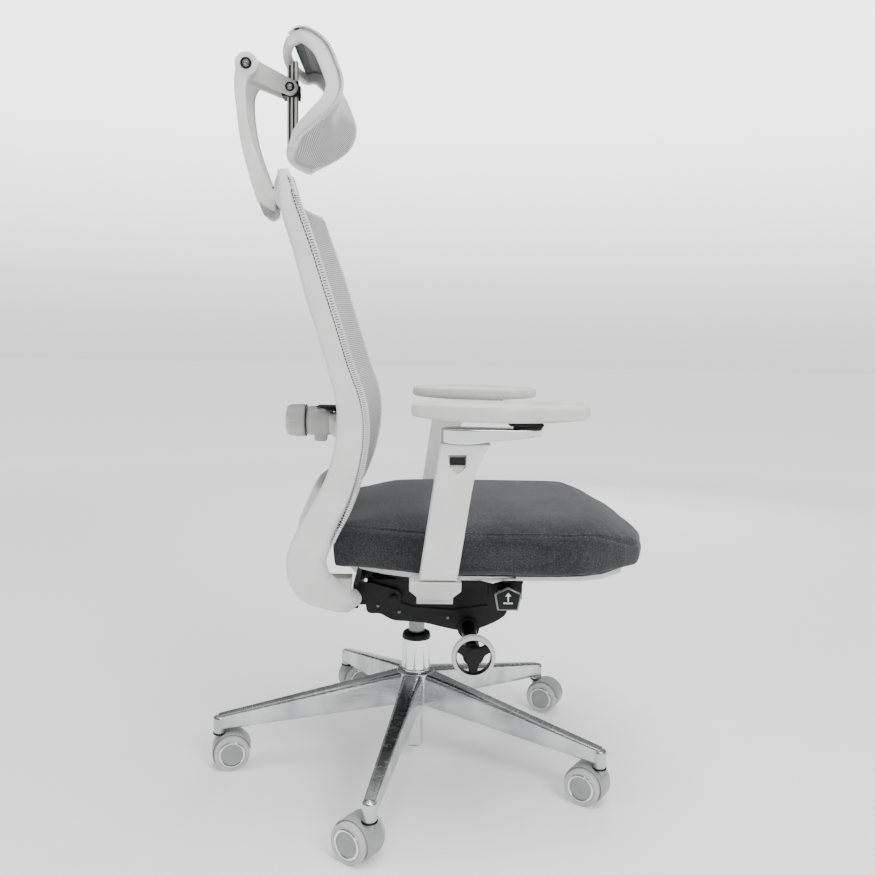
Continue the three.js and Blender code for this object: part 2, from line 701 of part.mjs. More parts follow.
// Centre line of a side member, from its top to its foot under the seat: x, y, z, width, thickness.
function memberStations() {
  const up = frameShift;
  const t = memberThick;
  const foot = backAxleZ + 4;
  const upright = [[-3, 204, 983, 16, t - 12], [0, 193, 930, 27, t - 2], [0, 173, 870, 30, t],
    [0, 155, 810, 33, t], [0, 136, 752, 33, t], [0, 120, 700, 34, t], [0, 106, 655, 39, t],
    [0, 102, 618, 43, t], [0, 105, 580, 45, t], [0, 114, 540, 47, t], [0, 130, 500, 51, t],
    [0, 154, 452, 56, t], [-2, 168, 412, 58, t], [-12, 160, 377, 57, t], [-42, 137, 352, 46, t - 2]];
  return [
    ...upright.map(([x, y, z, w, thick]) => ({ x: backHalf + x, y, z: z + up, w, t: thick })),
    { x: 166 + backWide, y: 119, z: foot + 14, w: 39, t: t - 6 },
    { x: 128 + backWide, y: 108, z: foot + 1, w: 38, t: t - 8 },
  ];
}

const memberSteps = 26;
const stationCount = memberStations().length;
const meshFrom = 0.08 / (stationCount - 1);
const meshTo = 11 / (stationCount - 1);

// Cross bar between the members, bowed to the rear in the middle.
function crossBar(y, z, bow, width, height, reach, tilt = 0) {
  const half = backHalf + reach;
  const place = (u) => ({ x: u * half, y: y + bow * (1 - u * u), z, w: height, t: width });
  return loft([-1, -0.5, 0, 0.5, 1].map(place), 6, new THREE.Vector3(0, Math.cos(tilt), Math.sin(tilt)));
}

function backFrame() {
  const member = loft(memberStations(), memberSteps);
  const other = weld(member.clone().scale(-1, 1, 1));
  const top = crossBar(206, 973 + frameShift, barBow, 16, 24, -10);
  const bottom = crossBar(154, 470 + frameShift, barBow, 14, 82, -8, radians(23));
  return join(member, other, top, bottom);
}

// The stretched net, with a thicker edge that hooks over the front of each side member.
function backMesh() {
  const line = lineThrough(memberStations());
  const inner = backHalf - memberThick / 2 - 12;
  const shape = new THREE.BoxGeometry(2, 1, 1, 8, 1, 14);
  return warp(shape, (x, y, z) => {
    const place = x * (backHalf + memberThick / 2 - 3);
    const drop = meshCorner * Math.max(Math.abs(x) - 0.7, 0) ** 2;
    const { at, along, size } = line(THREE.MathUtils.lerp(meshFrom + drop * (0.5 - z), meshTo, z + 0.5));
    const across = new THREE.Vector3(1, 0, 0).cross(along).normalize();
    if (across.y > 0) across.negate();
    const within = Math.min(Math.abs(place) / inner, 1);
    const bow = meshBow * (1 - within ** 2);
    const thick = Math.abs(place) > inner ? meshEdge : meshThick;
    const out = size.x / 2 + 2 + (y < 0 ? 0 : thick) - bow;
    return [place, at.y + across.y * out, at.z + across.z * out];
  });
}

// Steel yoke that ties both members' feet and turns on the rear axle.
function backYoke() {
  const near = housingHalf + 1 + flangeThick + 1.5;
  const far = near + yokeThick;
  const parts = [box(-112 - backWide, 112 + backWide, 97, 106, backAxleZ - 12, backAxleZ + 28)];
  for (const side of [-1, 1]) {
    const outline = [[backAxle.y - 13, backAxleZ - 8], [backAxle.y - 4, backAxleZ - 14],
      [104, backAxleZ - 12], [104, backAxleZ + 28], [backAxle.y + 34, backAxleZ + 24],
      [backAxle.y - 6, backAxleZ + 13], [backAxle.y - 13, backAxleZ + 6]];
    const plate = side > 0 ? sidePlate(outline, near, far) : sidePlate(outline, -far, -near);
    parts.push(plate);
  }
  const clear = 3 * gap;
  const member = loft(memberStations().map((s) => ({ ...s, w: s.w + clear, t: s.t + clear })), memberSteps);
  return cut(join(...parts), backBore(), member, weld(member.clone().scale(-1, 1, 1)));
}

// ---------- Lumbar unit ----------

const lumbarZ = lumbarHeight + frameShift;
const lumbarBore = 8;

function lumbarBar() {
  const half = backHalf - memberThick / 2 - 0.6;
  const bar = crossBar(112, lumbarZ, 34, 18, 28, half - backHalf);
  const pod = turned([[0, 0], [23, 0], [25, 6], [25, 38], [22, 44], [0, 44]], 20).rotateX(-Math.PI / 2);
  const lever = box(-9, 9, 160, 182, lumbarZ - 34, lumbarZ - 12);
  const bore = rod('y', lumbarBore + slip, 100, 230, 14).translate(0, 0, lumbarZ);
  return cut(join(bar, pod.translate(0, 152, lumbarZ), lever), bore);
}

function lumbarKnob() {
  const r = knobLumbarRadius;
  const d = knobLumbarDepth;
  const cap = turned([[0, 0], [r - 2, 0], [r, 4], [r - 2, d - 8], [r - 6, d - 1], [0, d]], 24);
  const whole = join(cap, rod('z', lumbarBore, -18, 1, 14));
  return whole.rotateX(-Math.PI / 2).translate(0, 197, lumbarZ);
}

// Pad behind the net, pushed forward by the knob's screw.
function lumbarPad() {
  const pad = warp(new THREE.BoxGeometry(2, 1, 2, 6, 1, 2), (x, y, z) => {
    const drop = 1 - 0.25 * x ** 4;
    return [x * 105, 122 + y * 7 - 6 * x * x, lumbarZ + z * 42 * drop];
  });
  return join(pad, rod('y', lumbarBore, 122, 172, 14).translate(0, 0, lumbarZ));
}

// ---------- Headrest ----------

const up = frameShift;
const boltOne = { y: 292, z: 1187 + up, radius: 5, headRadius: 8 };
const boltTwo = { y: 224, z: 1157 + up, radius: 4, headRadius: 7 };
const boltHead = 3; // thickness of a bolt's head

function headFork() {
  const parts = [];
  for (const side of [-1, 1]) {
    const stations = [[1, 292, 1187, 34], [1, 302, 1158, 21], [1, 300, 1115, 17], [0.96, 292, 1065, 20],
      [0.84, 276, 1012, 26], [0.62, 262, 975, 32]]
      .map(([out, y, z, w]) => ({ x: side * forkHalf * out, y, z: z + up, w, t: forkThick }));
    const boss = rod('x', 19, forkHalf - forkThick / 2 - 2, forkHalf + forkThick / 2, 14);
    if (side < 0) boss.translate(-2 * forkHalf + 2, 0, 0);
    parts.push(loft(stations, 9), boss.translate(0, boltOne.y, boltOne.z));
  }
  const foot = [[247, 992], [247, 956], [256, 950], [270, 958], [280, 992]].map(([y, z]) => [y, z + up]);
  parts.push(sidePlate(foot, -32, 32, 3));
  parts.push(box(-22, 22, 224, 256, 987.5 + up, 996 + up));
  return cut(join(...parts), boreX(boltOne.radius, boltOne.y, boltOne.z));
}

// Two side plates and a web above, open below.
function headLink() {
  const half = linkHalf;
  const outline = [];
  const turnOne = Math.atan2(boltOne.z - boltTwo.z, boltOne.y - boltTwo.y);
  for (let i = 0; i <= 6; i += 1) {
    const a = turnOne - Math.PI / 2 + (i * Math.PI) / 6;
    outline.push([boltOne.y + 17 * Math.cos(a), boltOne.z + 17 * Math.sin(a)]);
  }
  for (let i = 0; i <= 6; i += 1) {
    const a = turnOne + Math.PI / 2 + (i * Math.PI) / 6;
    outline.push([boltTwo.y + 12.5 * Math.cos(a), boltTwo.z + 12.5 * Math.sin(a)]);
  }
  const body = sidePlate(outline, -half, half, 1.5);
  const inner = half - linkWall;
  const channel = box(-inner, inner, boltTwo.y - 30, boltOne.y - 22, boltTwo.z - 60, boltOne.z - 9);
  const mouth = box(-inner, inner, boltTwo.y - 30, boltTwo.y + 24, boltTwo.z - 40, boltTwo.z + 60);
  const bores = [boltOne, boltTwo].map(({ radius, y, z }) => boreX(radius, y, z));
  return cut(body, channel, mouth, ...bores);
}

// A bolt with a cap at both ends, "reach" from the middle to the underside of either cap.
function bolt({ y, z, radius, headRadius }, reach) {
  const shank = rod('x', radius, -reach - 1, reach + 1, 12);
  const nearHead = rod('x', headRadius, -reach - boltHead, -reach, 14);
  const farHead = rod('x', headRadius, reach, reach + boltHead, 14);
  return join(shank, nearHead, farHead).translate(0, y, z);
}

// Holds the rail between two cheeks, on the second bolt.
function headSlider() {
  const half = linkHalf - linkWall - gap;
  const body = box(-half, half, boltTwo.y - 13, boltTwo.y + 15, boltTwo.z - 12, boltTwo.z + 12);
  const room = railHalf + slip;
  const way = box(-room, room, boltTwo.y - 20, boltTwo.y + 8, boltTwo.z - 20, boltTwo.z + 20);
  return cut(body, way, boreX(boltTwo.radius, boltTwo.y, boltTwo.z));
}

const railFront = boltTwo.y - 10;
const railBack = boltTwo.y + 7;

// Centre line of a side of the headrest. It bends forward like a C and turns in at both ends.
function headStations(x) {
  return [[0.7, 213, 1205, 16], [0.8, 192, 1209, 20], [0.94, 164, 1186, 24], [1, 147, 1151, 25],
    [1, 141, 1126, 24], [1, 151, 1103, 23], [0.96, 172, 1084, 20], [0.85, 196, 1065, 16],
    [0.7, 208, 1047, 13]]
    .map(([out, y, z, w]) => ({ x: x * out, y, z: z + up, w, t: 14 }));
}

// Bar across the headrest's top or bottom, between the ends of its sides.
function headBar(station, width) {
  const end = headStations(headHalf - 7).at(station);
  const place = (u) => ({ x: u * end.x, y: end.y + headBow * (1 - u * u), z: end.z, w: end.w, t: width });
  return loft([-1, -0.5, 0, 0.5, 1].map(place), 6, new THREE.Vector3(0, 1, 0));
}

function headFrame() {
  const parts = [-1, 1].map((side) => loft(headStations(side * (headHalf - 7)), 13));
  const [top, bottom] = [headStations(1).at(0).z, headStations(1).at(-1).z];
  const rail = box(-railHalf, railHalf, railFront, railBack, bottom, top);
  const room = boltTwo.radius + slip;
  const travel = headSlide + room + slip;
  const slot = box(-20, 20, boltTwo.y - room, boltTwo.y + room, boltTwo.z - travel, boltTwo.z + travel);
  return cut(join(...parts, headBar(0, 14), headBar(-1, 12), rail), slot);
}

// The net over the headrest's front, hollowed a little in the middle.
function headMesh() {
  const line = lineThrough(headStations(headHalf));
  const shape = new THREE.BoxGeometry(2, 1, 1, 8, 1, 12);
  return warp(shape, (x, y, z) => {
    const { at, along, size } = line(0.03 + 0.94 * (z + 0.5));
    const across = new THREE.Vector3(0, -along.z, along.y).normalize();
    if (across.y * (at.y - 215) + across.z * (at.z - 1125 - up) < 0) across.negate();
    const bow = headBow * (1 - Math.min(Math.abs(x) * 1.12, 1) ** 2) * Math.cos(z * Math.PI);
    const out = size.x / 2 + 2.2 + (y < 0 ? 0 : meshThick);
    return [x * at.x, at.y + across.y * out + bow, at.z + across.z * out];
  });
}

// ---------- The chair ----------

const chair = group(
  piece('base_star', baseShape(), polished),
  piece('lift_tube', liftTube(), chrome),
  piece('lift_guide_cap', guideCap(), blackPlastic),
  piece('lift_piston_rod', pistonRod(), steel),
  piece('lift_retaining_clip', retainingClip(), steel),
  piece('lift_cylinder', gasCylinder(), chrome),
  piece('mechanism_housing', mechanismHousing(), blackSteel),
  piece('tilt_spring', tiltSpring(), steel),
  piece('seat_axle', pin(housingHalf + 6).translate(0, seatAxle.y, seatAxleZ), steel),
  piece('back_axle', pin(housingHalf + 12).translate(0, backAxle.y, backAxleZ), steel),
  piece('tension_shaft', tensionShaft(), blackPlastic),
  piece('tension_wheel', tensionWheel(), greyPlastic),
  piece('seat_carrier', seatCarrier(), blackSteel),
  piece('seat_pan', seatPan(), greyPlastic),
  piece('seat_cushion', cushion(), cloth),
  piece('height_paddle', paddle(-1), blackPlastic),
  piece('tilt_lock_paddle', paddle(1), blackPlastic),
  arm(-1, 'right'),
  arm(1, 'left'),
  piece('back_frame', backFrame(), whitePlastic),
  piece('back_mesh', backMesh(), netting),
  piece('back_yoke', backYoke(), blackSteel),
  piece('lumbar_bar', lumbarBar(), whitePlastic),
  piece('lumbar_knob', lumbarKnob(), greyPlastic),
  piece('lumbar_pad', lumbarPad(), greyPlastic),
  piece('headrest_fork', headFork(), whitePlastic),
  piece('headrest_bolt_upper', bolt(boltOne, forkHalf + forkThick / 2 + gap), steel),
  piece('headrest_link', headLink(), whitePlastic),
  piece('headrest_bolt_lower', bolt(boltTwo, linkHalf + gap), steel),
  piece('headrest_slider', headSlider(), blackPlastic),
  piece('headrest_frame', headFrame(), whitePlastic),
  piece('headrest_mesh', headMesh(), netting),
);
for (let i = 0; i < casterCount; i += 1) chair.add(caster(i));

export default chair;
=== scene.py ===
import json
import math

import bmesh
import bpy
from mathutils import Matrix, Vector
from mathutils.bvhtree import BVHTree

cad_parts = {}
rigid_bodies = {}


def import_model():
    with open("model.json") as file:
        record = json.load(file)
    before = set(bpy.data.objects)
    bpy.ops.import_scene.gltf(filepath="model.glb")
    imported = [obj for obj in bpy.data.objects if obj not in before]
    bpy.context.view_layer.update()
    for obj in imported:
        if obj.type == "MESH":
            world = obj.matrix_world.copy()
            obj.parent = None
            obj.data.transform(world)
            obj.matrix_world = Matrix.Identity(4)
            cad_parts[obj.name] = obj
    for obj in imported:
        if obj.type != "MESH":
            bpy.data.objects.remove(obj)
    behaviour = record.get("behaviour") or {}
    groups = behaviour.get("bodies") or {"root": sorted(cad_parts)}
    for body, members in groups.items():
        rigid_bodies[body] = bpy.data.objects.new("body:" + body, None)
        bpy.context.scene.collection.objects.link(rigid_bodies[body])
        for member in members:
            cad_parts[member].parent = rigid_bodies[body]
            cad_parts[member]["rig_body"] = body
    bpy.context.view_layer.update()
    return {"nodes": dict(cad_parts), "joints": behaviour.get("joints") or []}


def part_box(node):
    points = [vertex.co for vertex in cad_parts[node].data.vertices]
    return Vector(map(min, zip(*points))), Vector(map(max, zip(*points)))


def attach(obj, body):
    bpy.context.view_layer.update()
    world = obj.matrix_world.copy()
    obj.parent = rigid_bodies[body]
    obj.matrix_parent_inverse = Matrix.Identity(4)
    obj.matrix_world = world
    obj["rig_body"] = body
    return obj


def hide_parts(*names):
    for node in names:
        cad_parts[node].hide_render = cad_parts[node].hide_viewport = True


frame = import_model()
nodes = frame["nodes"]
joints = {joint["name"]: joint for joint in frame["joints"]}
scene = bpy.context.scene
mm = 0.001
print("frame loaded:", len(nodes), "nodes")


def fromHex(code):
    parts = [int(code[i:i + 2], 16) / 255 for i in (1, 3, 5)]
    return tuple(c / 12.92 if c <= 0.04045 else ((c + 0.055) / 1.055) ** 2.4 for c in parts) + (1.0,)


def add(tree, kind, settings=None, links=None):
    node = tree.nodes.new("ShaderNode" + kind)
    for key, value in (settings or {}).items():
        if isinstance(key, int) or key in node.inputs:
            node.inputs[key].default_value = value
        else:
            setattr(node, key, value)
    join(tree, node, links or {})
    return node


def join(tree, node, links):  # a link comes from a socket, or from the first output of a node
    for key, source in links.items():
        tree.links.new(getattr(source, "outputs", [source])[0], node.inputs[key])


def startMaterial(name, sockets, coords="Object"):
    material = bpy.data.materials.new(name)
    material.use_nodes = True
    tree = material.node_tree
    shader = tree.nodes["Principled BSDF"]
    for key, value in sockets.items():
        shader.inputs[key].default_value = value
    return material, tree, shader, add(tree, "TexCoord").outputs[coords]


evenly = (1, 1, 1)


# Clouds and grains of a real size: (size, stretch, detail), then the part of the noise that is used and
# its range.
def patterns(tree, place, rows):
    made = []
    for size, stretch, detail, start, end, low, high in rows:
        scaled = add(tree, "Mapping", {"Scale": tuple(s / size for s in stretch)}, {"Vector": place})
        noise = add(tree, "TexNoise", {"Scale": 1.0, "Detail": detail, "Roughness": 0.55}, {"Vector": scaled})
        made.append(add(tree, "MapRange", {"From Min": start, "From Max": end, "To Min": low, "To Max": high},
                        {"Value": noise}))
    return made


# A hard finish: tone and shine are rows for patterns, grain is (size, stretch, detail, depth).
def finish(name, dark, light, tone, shine, grain, metallic=0.0, gloss=0.5):
    material, tree, shader, place = startMaterial(name, {"Base Color": fromHex(light), "Metallic": metallic,
                                                         "Specular IOR Level": gloss})
    rub, pores = patterns(tree, place, (shine, (*grain[:3], 0, 1, 0, 1)))
    if tone:
        cloud = patterns(tree, place, [tone])[0]
        mixed = add(tree, "Mix", {"data_type": "RGBA", 6: fromHex(dark), 7: fromHex(light)}, {0: cloud})
        join(tree, shader, {"Base Color": mixed.outputs[2]})
    bump = add(tree, "Bump", {"Strength": 1.0, "Distance": grain[3]}, {"Height": pores})
    join(tree, shader, {"Roughness": rub, "Normal": bump})
    return material


def moulded(name, dark, light, roughness, size=0.7 * mm, depth=0.02 * mm, gloss=0.5):
    # Injection-moulded nylon: a fine eroded grain that softens the highlight, with faint cloudiness.
    return finish(name, dark, light, (60 * mm, evenly, 3, 0.3, 0.7, 0, 1),
                  (9 * mm, evenly, 3, 0.3, 0.7, roughness - 0.05, roughness + 0.07), (size, evenly, 3, depth),
                  gloss=gloss)


def padSkinMaterial():
    # Self-skinned polyurethane: soft touch, a pebbled leather grain, dulled where hands rest.
    material, tree, shader, place = startMaterial("skinnedPolyurethane", {})
    scaled = add(tree, "Mapping", {"Scale": (1 / (1.3 * mm),) * 3}, {"Vector": place})
    pebble = add(tree, "TexVoronoi", {"Scale": 1.0, "feature": "SMOOTH_F1"}, {"Vector": scaled})
    tone = patterns(tree, place, [(50 * mm, evenly, 3, 0.3, 0.7, 0, 1)])[0]
    mixed = add(tree, "Mix", {"data_type": "RGBA", 6: fromHex("#c6c6c4"), 7: fromHex("#d3d3d1")}, {0: tone})
    rub = add(tree, "MapRange", {"To Min": 0.44, "To Max": 0.58}, {"Value": tone})
    bump = add(tree, "Bump", {"Strength": 0.7, "Distance": 0.05 * mm}, {"Height": pebble.outputs["Distance"]})
    join(tree, shader, {"Base Color": mixed.outputs[2], "Roughness": rub, "Normal": bump})
    return material


def heatherCloth():
    # Plain weave of two-tone polyester yarn: dark grey with pale flecks. Threads are drawn twice as coarse
    # as the real 1.1 mm so that they show.
    material, tree, shader, place = startMaterial("wovenHeatherPolyester", {
        "Roughness": 0.92, "Sheen Weight": 0.22, "Sheen Roughness": 0.45, "Specular IOR Level": 0.25})
    longFleck, crossFleck, patch = patterns(tree, place, [
        (1.3 * mm, (0.35, 1, 1), 2, 0, 1, 0, 1), (1.3 * mm, (1, 0.35, 1), 2, 0, 1, 0, 1),
        (70 * mm, evenly, 3, 0.3, 0.7, -0.12, 0.12)])
    scale = math.pi / 10 / (2.3 * mm)  # a wave texture repeats every pi / 10 / scale
    weave = {"Scale": scale, "Distortion": 1.2, "Detail": 1.0}
    warp, weft, upright = [add(tree, "TexWave", {"bands_direction": way, **weave},
                               {"Vector": place}).outputs["Fac"]
                           for way in "XYZ"]
    crossed = add(tree, "Math", {"operation": "MULTIPLY"}, {0: warp, 1: weft})
    facing = add(tree, "SeparateXYZ", {}, {0: add(tree, "TexCoord").outputs["Normal"]})
    level = add(tree, "Math", {"operation": "ABSOLUTE"}, {0: facing.outputs["Z"]})
    onSides = add(tree, "MapRange", {"From Min": 0.25, "From Max": 0.6, "To Min": 0.5, "To Max": 0},
                  {"Value": level})
    threads = add(tree, "Math", {"operation": "MULTIPLY_ADD"}, {0: upright, 1: onSides, 2: crossed})
    flecks = add(tree, "Math", {"operation": "MAXIMUM"}, {0: longFleck, 1: crossFleck})
    fleck = add(tree, "MapRange", {"From Min": 0.48, "From Max": 0.86}, {"Value": flecks})
    value = add(tree, "Math", {"operation": "ADD"}, {0: fleck, 1: patch})
    body = add(tree, "Mix", {"data_type": "RGBA", 6: fromHex("#29292b"), 7: fromHex("#5c5d5f")}, {0: value})
    dim = add(tree, "Mix", {"data_type": "RGBA", "blend_type": "MULTIPLY", 7: (0.62, 0.62, 0.63, 1)},
              {0: threads, 6: body.outputs[2]})
    height = add(tree, "Math", {"operation": "ADD"}, {0: threads, 1: fleck})
    bump = add(tree, "Bump", {"Strength": 0.8, "Distance": 0.35 * mm}, {"Height": height})
    join(tree, shader, {"Base Color": dim.outputs[2], "Normal": bump})
    return material


def netYarn(name, light, dark, gap):
    # Knitted elastic net: round cords side by side, with open slots between. v runs across the cords in
    # metres.
    material, tree, shader, place = startMaterial(name, {"Roughness": 0.7, "Sheen Weight": 0.2}, "UV")
    split = add(tree, "SeparateXYZ", {}, {"Vector": place})
    waves = []
    for socket, repeat in (("Y", netSize["pitch"]), ("X", 2 * netSize["pitch"])):
        turns = add(tree, "Math", {"operation": "MULTIPLY", 1: 2 * math.pi / repeat},
                    {0: split.outputs[socket]})
        waves.append(add(tree, "Math", {"operation": "SINE"}, {0: turns}))
    tone, low, slot = [add(tree, "MapRange", {"From Min": a, "From Max": b, "To Min": c, "To Max": d},
                           {"Value": wave})
                       for wave, a, b, c, d in ((waves[0], -0.9, 0.2, 0, 1), (waves[0], -0.95, -0.35, 1, 0),
                                                (waves[1], -0.7, -0.2, 0, gap))]
    # painted shade: the grooves between the cords get the dark colour, the cord tops the light one
    mixed = add(tree, "Mix", {"data_type": "RGBA", 6: fromHex(dark), 7: fromHex(light)}, {0: tone})
    hole = add(tree, "Math", {"operation": "MULTIPLY"}, {0: low, 1: slot})
    cover = add(tree, "Math", {"operation": "SUBTRACT", 0: 1.0, "use_clamp": True}, {1: hole})
    twist = add(tree, "Mapping", {"Scale": (900, 900, 1)}, {"Vector": place})
    fibre = add(tree, "TexNoise", {"Scale": 1.0, "Detail": 2.0}, {"Vector": twist})
    bump = add(tree, "Bump", {"Strength": 0.6, "Distance": 0.15 * mm}, {"Height": fibre})
    join(tree, shader, {"Base Color": mixed.outputs[2], "Alpha": cover, "Normal": bump})
    return material


netSize = {"pitch": 3.0 * mm, "ribDepth": 0.55 * mm, "thick": 1.0 * mm}
looks = {
    "white": moulded("mouldedWhiteNylon", "#d6d6d5", "#e1e1e0", 0.4),
    "grey": moulded("mouldedPaleGreyNylon", "#bcbcbb", "#c9c9c8", 0.42),
    "cap": moulded("mouldedMidGreyNylon", "#8f9091", "#a0a1a2", 0.42),
    "black": moulded("mouldedBlackNylon", "#060607", "#0c0c0d", 0.46, gloss=0.25),
    "tread": moulded("castPolyurethaneTread", "#b4b4b3", "#c1c1c0", 0.6, 1.1 * mm, 0.05 * mm),
    # Die-cast and polished by hand: bright, with fine polishing marks and soft grey patches.
    "aluminium": finish("polishedCastAluminium", "#a9aaac", "#cfd0d1",
                        (70 * mm, (1, 1, 0.6), 2, 0.35, 0.65, 0, 1),
                        (1.1 * mm, (0.06, 0.06, 1), 2, 0.3, 0.7, 0.18, 0.30), (1.1 * mm, (0.06, 0.06, 1), 2,
                                                                               0.004 * mm), 1.0),
    # Chrome over polished steel: mirror bright, with faint finger smears.
    "chrome": finish("platedChrome", "#e4e5e6", "#e4e5e6", None,
                     (22 * mm, (1, 1, 0.5), 3, 0.3, 0.7, 0.04, 0.13), (14 * mm, evenly, 3, 0.012 * mm), 1.0),
    # Turned steel: rings from the tool, satin shine.
    "steel": finish("turnedSteel", "#6a6c6e", "#8d8f91", (0.8 * mm, (1, 0.1, 1), 1, 0, 1, 0, 1),
                    (0.8 * mm, (1, 0.1, 1), 1, 0.3, 0.7, 0.26, 0.44), (0.8 * mm, (1, 0.1, 1), 1,
                                                                       0.02 * mm), 1.0),
    # Baked powder on pressed steel: black with an orange-peel surface.
    "powder": finish("blackPowderCoat", "#040405", "#09090a", (40 * mm, evenly, 3, 0.3, 0.7, 0, 1),
                     (1.5 * mm, evenly, 1, 0.3, 0.7, 0.34, 0.5), (1.5 * mm, evenly, 1,
                                                                  0.06 * mm), gloss=0.25),
    "skin": padSkinMaterial(),
    "cloth": heatherCloth(),
    # the darker colour of each net is painted shade in the grooves between its cords
    "net": netYarn("knittedElasticNet", "#c2c3c3", "#6c6d6f", 0.7),
    "headNet": netYarn("knittedHeadrestNet", "#dadada", "#3c3d3f", 0.35),
    # Woven tape, sewing thread and black rubber, which also stands as painted shade in the gaps of the net edging
    # and its seam: the same clouds with a coarser or duller surface.
    "edging": moulded("wovenNetEdging", "#e2e2e2", "#efefef", 0.65, 0.8 * mm, 0.12 * mm, 0.2),
    "thread": moulded("twistedPolyesterThread", "#4e4f51", "#696a6c", 0.85, 0.4 * mm, 0.05 * mm, 0.2),
    "shadowGap": moulded("blackRubberSealAndGapShade", "#0c0c0d", "#141415", 0.8),
    "floor": moulded("paintedStudioFloor", "#f4f4f4", "#fafafa", 0.8, 3 * mm, 0.02 * mm, 0.1),
}
print("materials ready:", len(looks))


def keep(name, bm, look, body, replaces=(), sharp=32, flip=False):
    if flip:  # the other side's twin
        mirrorX(bm)
    mesh = bpy.data.meshes.new(name)
    bm.to_mesh(mesh)
    bm.free()
    piece = bpy.data.objects.new(name, mesh)
    scene.collection.objects.link(piece)
    mesh.materials.append(looks[look])
    mesh.shade_smooth()
    mesh.set_sharp_from_angle(angle=math.radians(sharp))
    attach(piece, body)
    if replaces:
        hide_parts(*replaces)
    return piece


def toAxis(centre, axis):  # takes a shape made around +Z to a place and a direction
    return Matrix.Translation(centre) @ Vector((0, 0,
                                                1)).rotation_difference(Vector(axis)).to_matrix().to_4x4()


def turn(bm, profile, centre=(0, 0, 0), axis=(0, 0, 1), steps=64, closed=False):
    verts = [bm.verts.new((radius, 0, height)) for radius, height in profile]
    edges = [bm.edges.new(pair) for pair in zip(verts, verts[1:])]
    if closed:
        edges.append(bm.edges.new((verts[-1], verts[0])))
    bmesh.ops.spin(bm, geom=verts + edges, cent=(0, 0, 0), axis=(0, 0, 1), angle=2 * math.pi, steps=steps,
                   use_merge=True)
    whole = set(verts)
    reach = list(verts)
    while reach:
        for edge in reach.pop().link_edges:
            for vert in edge.verts:
                if vert not in whole:
                    whole.add(vert)
                    reach.append(vert)
    bmesh.ops.remove_doubles(bm, verts=list(whole), dist=1e-6)
    whole = [v for v in whole if v.is_valid]
    bmesh.ops.transform(bm, matrix=toAxis(centre, axis), verts=whole)
    faces = list({face for v in whole for face in v.link_faces})
    bmesh.ops.recalc_face_normals(bm, faces=faces)


def softProfile(points, radius=0.001, steps=3):  # rounds the inner corners of an outline of (radius, height)
    made = [points[0]]
    for before, corner, after in zip(points, points[1:], points[2:]):
        here = Vector(corner)
        back = Vector(before) - here
        on = Vector(after) - here
        reach = min(radius, back.length * 0.45, on.length * 0.45)
        start = here + back.normalized() * reach
        end = here + on.normalized() * reach
        for i in range(steps + 1):
            f = i / steps
            made.append(tuple(start * (1 - f) ** 2 + here * 2 * f * (1 - f) + end * f ** 2))
    made.append(points[-1])
    return made


def splineAt(rows, u):
    rows = [[2 * a - b for a, b in zip(rows[0], rows[1])], *rows,
            [2 * a - b for a, b in zip(rows[-1], rows[-2])]]
    place = min(max(u, 0.0), 1.0) * (len(rows) - 3)
    i = min(int(place), len(rows) - 4)
    f = place - i
    made = []
    for a, b, c, d in zip(*rows[i:i + 4]):
        made.append(0.5 * (2 * b + (c - a) * f + (2 * a - 5 * b + 4 * c - d) * f * f
                           + (3 * b - a - 3 * c + d) * f ** 3))
    return made


def frameAt(rows, u, side):  # centre, the two section directions and the direction of a line
    centre = Vector(splineAt(rows, u)[:3])
    ahead = Vector(splineAt(rows, min(u + 0.004, 1))[:3])
    behind = Vector(splineAt(rows, max(u - 0.004, 0))[:3])
    along = (ahead - behind).normalized()
    across = Vector(side).cross(along).normalized()
    beside = along.cross(across).normalized()
    return centre, across, beside, along


def ovalSection(count, power):
    made = []
    for i in range(count):
        angle = 2 * math.pi * (i + 0.5) / count
        c, s = math.cos(angle), math.sin(angle)
        made.append((math.copysign(abs(c) ** power, c), math.copysign(abs(s) ** power, s)))
    return made


def addRing(bm, centre, across, beside, outline):
    ring = bmesh.ops.create_circle(bm, segments=len(outline), radius=1)["verts"]
    for vert, (a, b) in zip(ring, outline):
        vert.co = centre + across * a + beside * b
    return ring


def ringEdges(ring):
    inside = set(ring)
    return [e for e in {edge for v in ring for edge in v.link_edges} if inside.issuperset(e.verts)]


def joinRings(bm, rings, closed=False):  # a skin over rings, with its ends filled unless it closes on itself
    edges = [ringEdges(ring) for ring in rings]
    for near, far in zip(edges, edges[1:] + edges[:1] if closed else edges[1:]):
        bmesh.ops.bridge_loops(bm, edges=near + far)
    if not closed:
        for end in (edges[0], edges[-1]):
            bmesh.ops.edgeloop_fill(bm, edges=end)
    bmesh.ops.recalc_face_normals(bm,
                                  faces=list({face for ring in rings for v in ring for face in v.link_faces}))


# Sweeps a section along a line of rows (x, y, z, width, thickness, ...). A section may depend on its row.
def sweep(bm, rows, section, steps, side=(1, 0, 0)):
    rings = []
    for i in range(steps + 1):
        row = splineAt(rows, i / steps)
        centre, across, beside = frameAt(rows, i / steps, side)[:3]
        outline = section(row) if callable(section) else section
        rings.append(addRing(bm, centre, across, beside,
                             [(a * row[3] / 2, b * row[4] / 2) for a, b in outline]))
    joinRings(bm, rings)


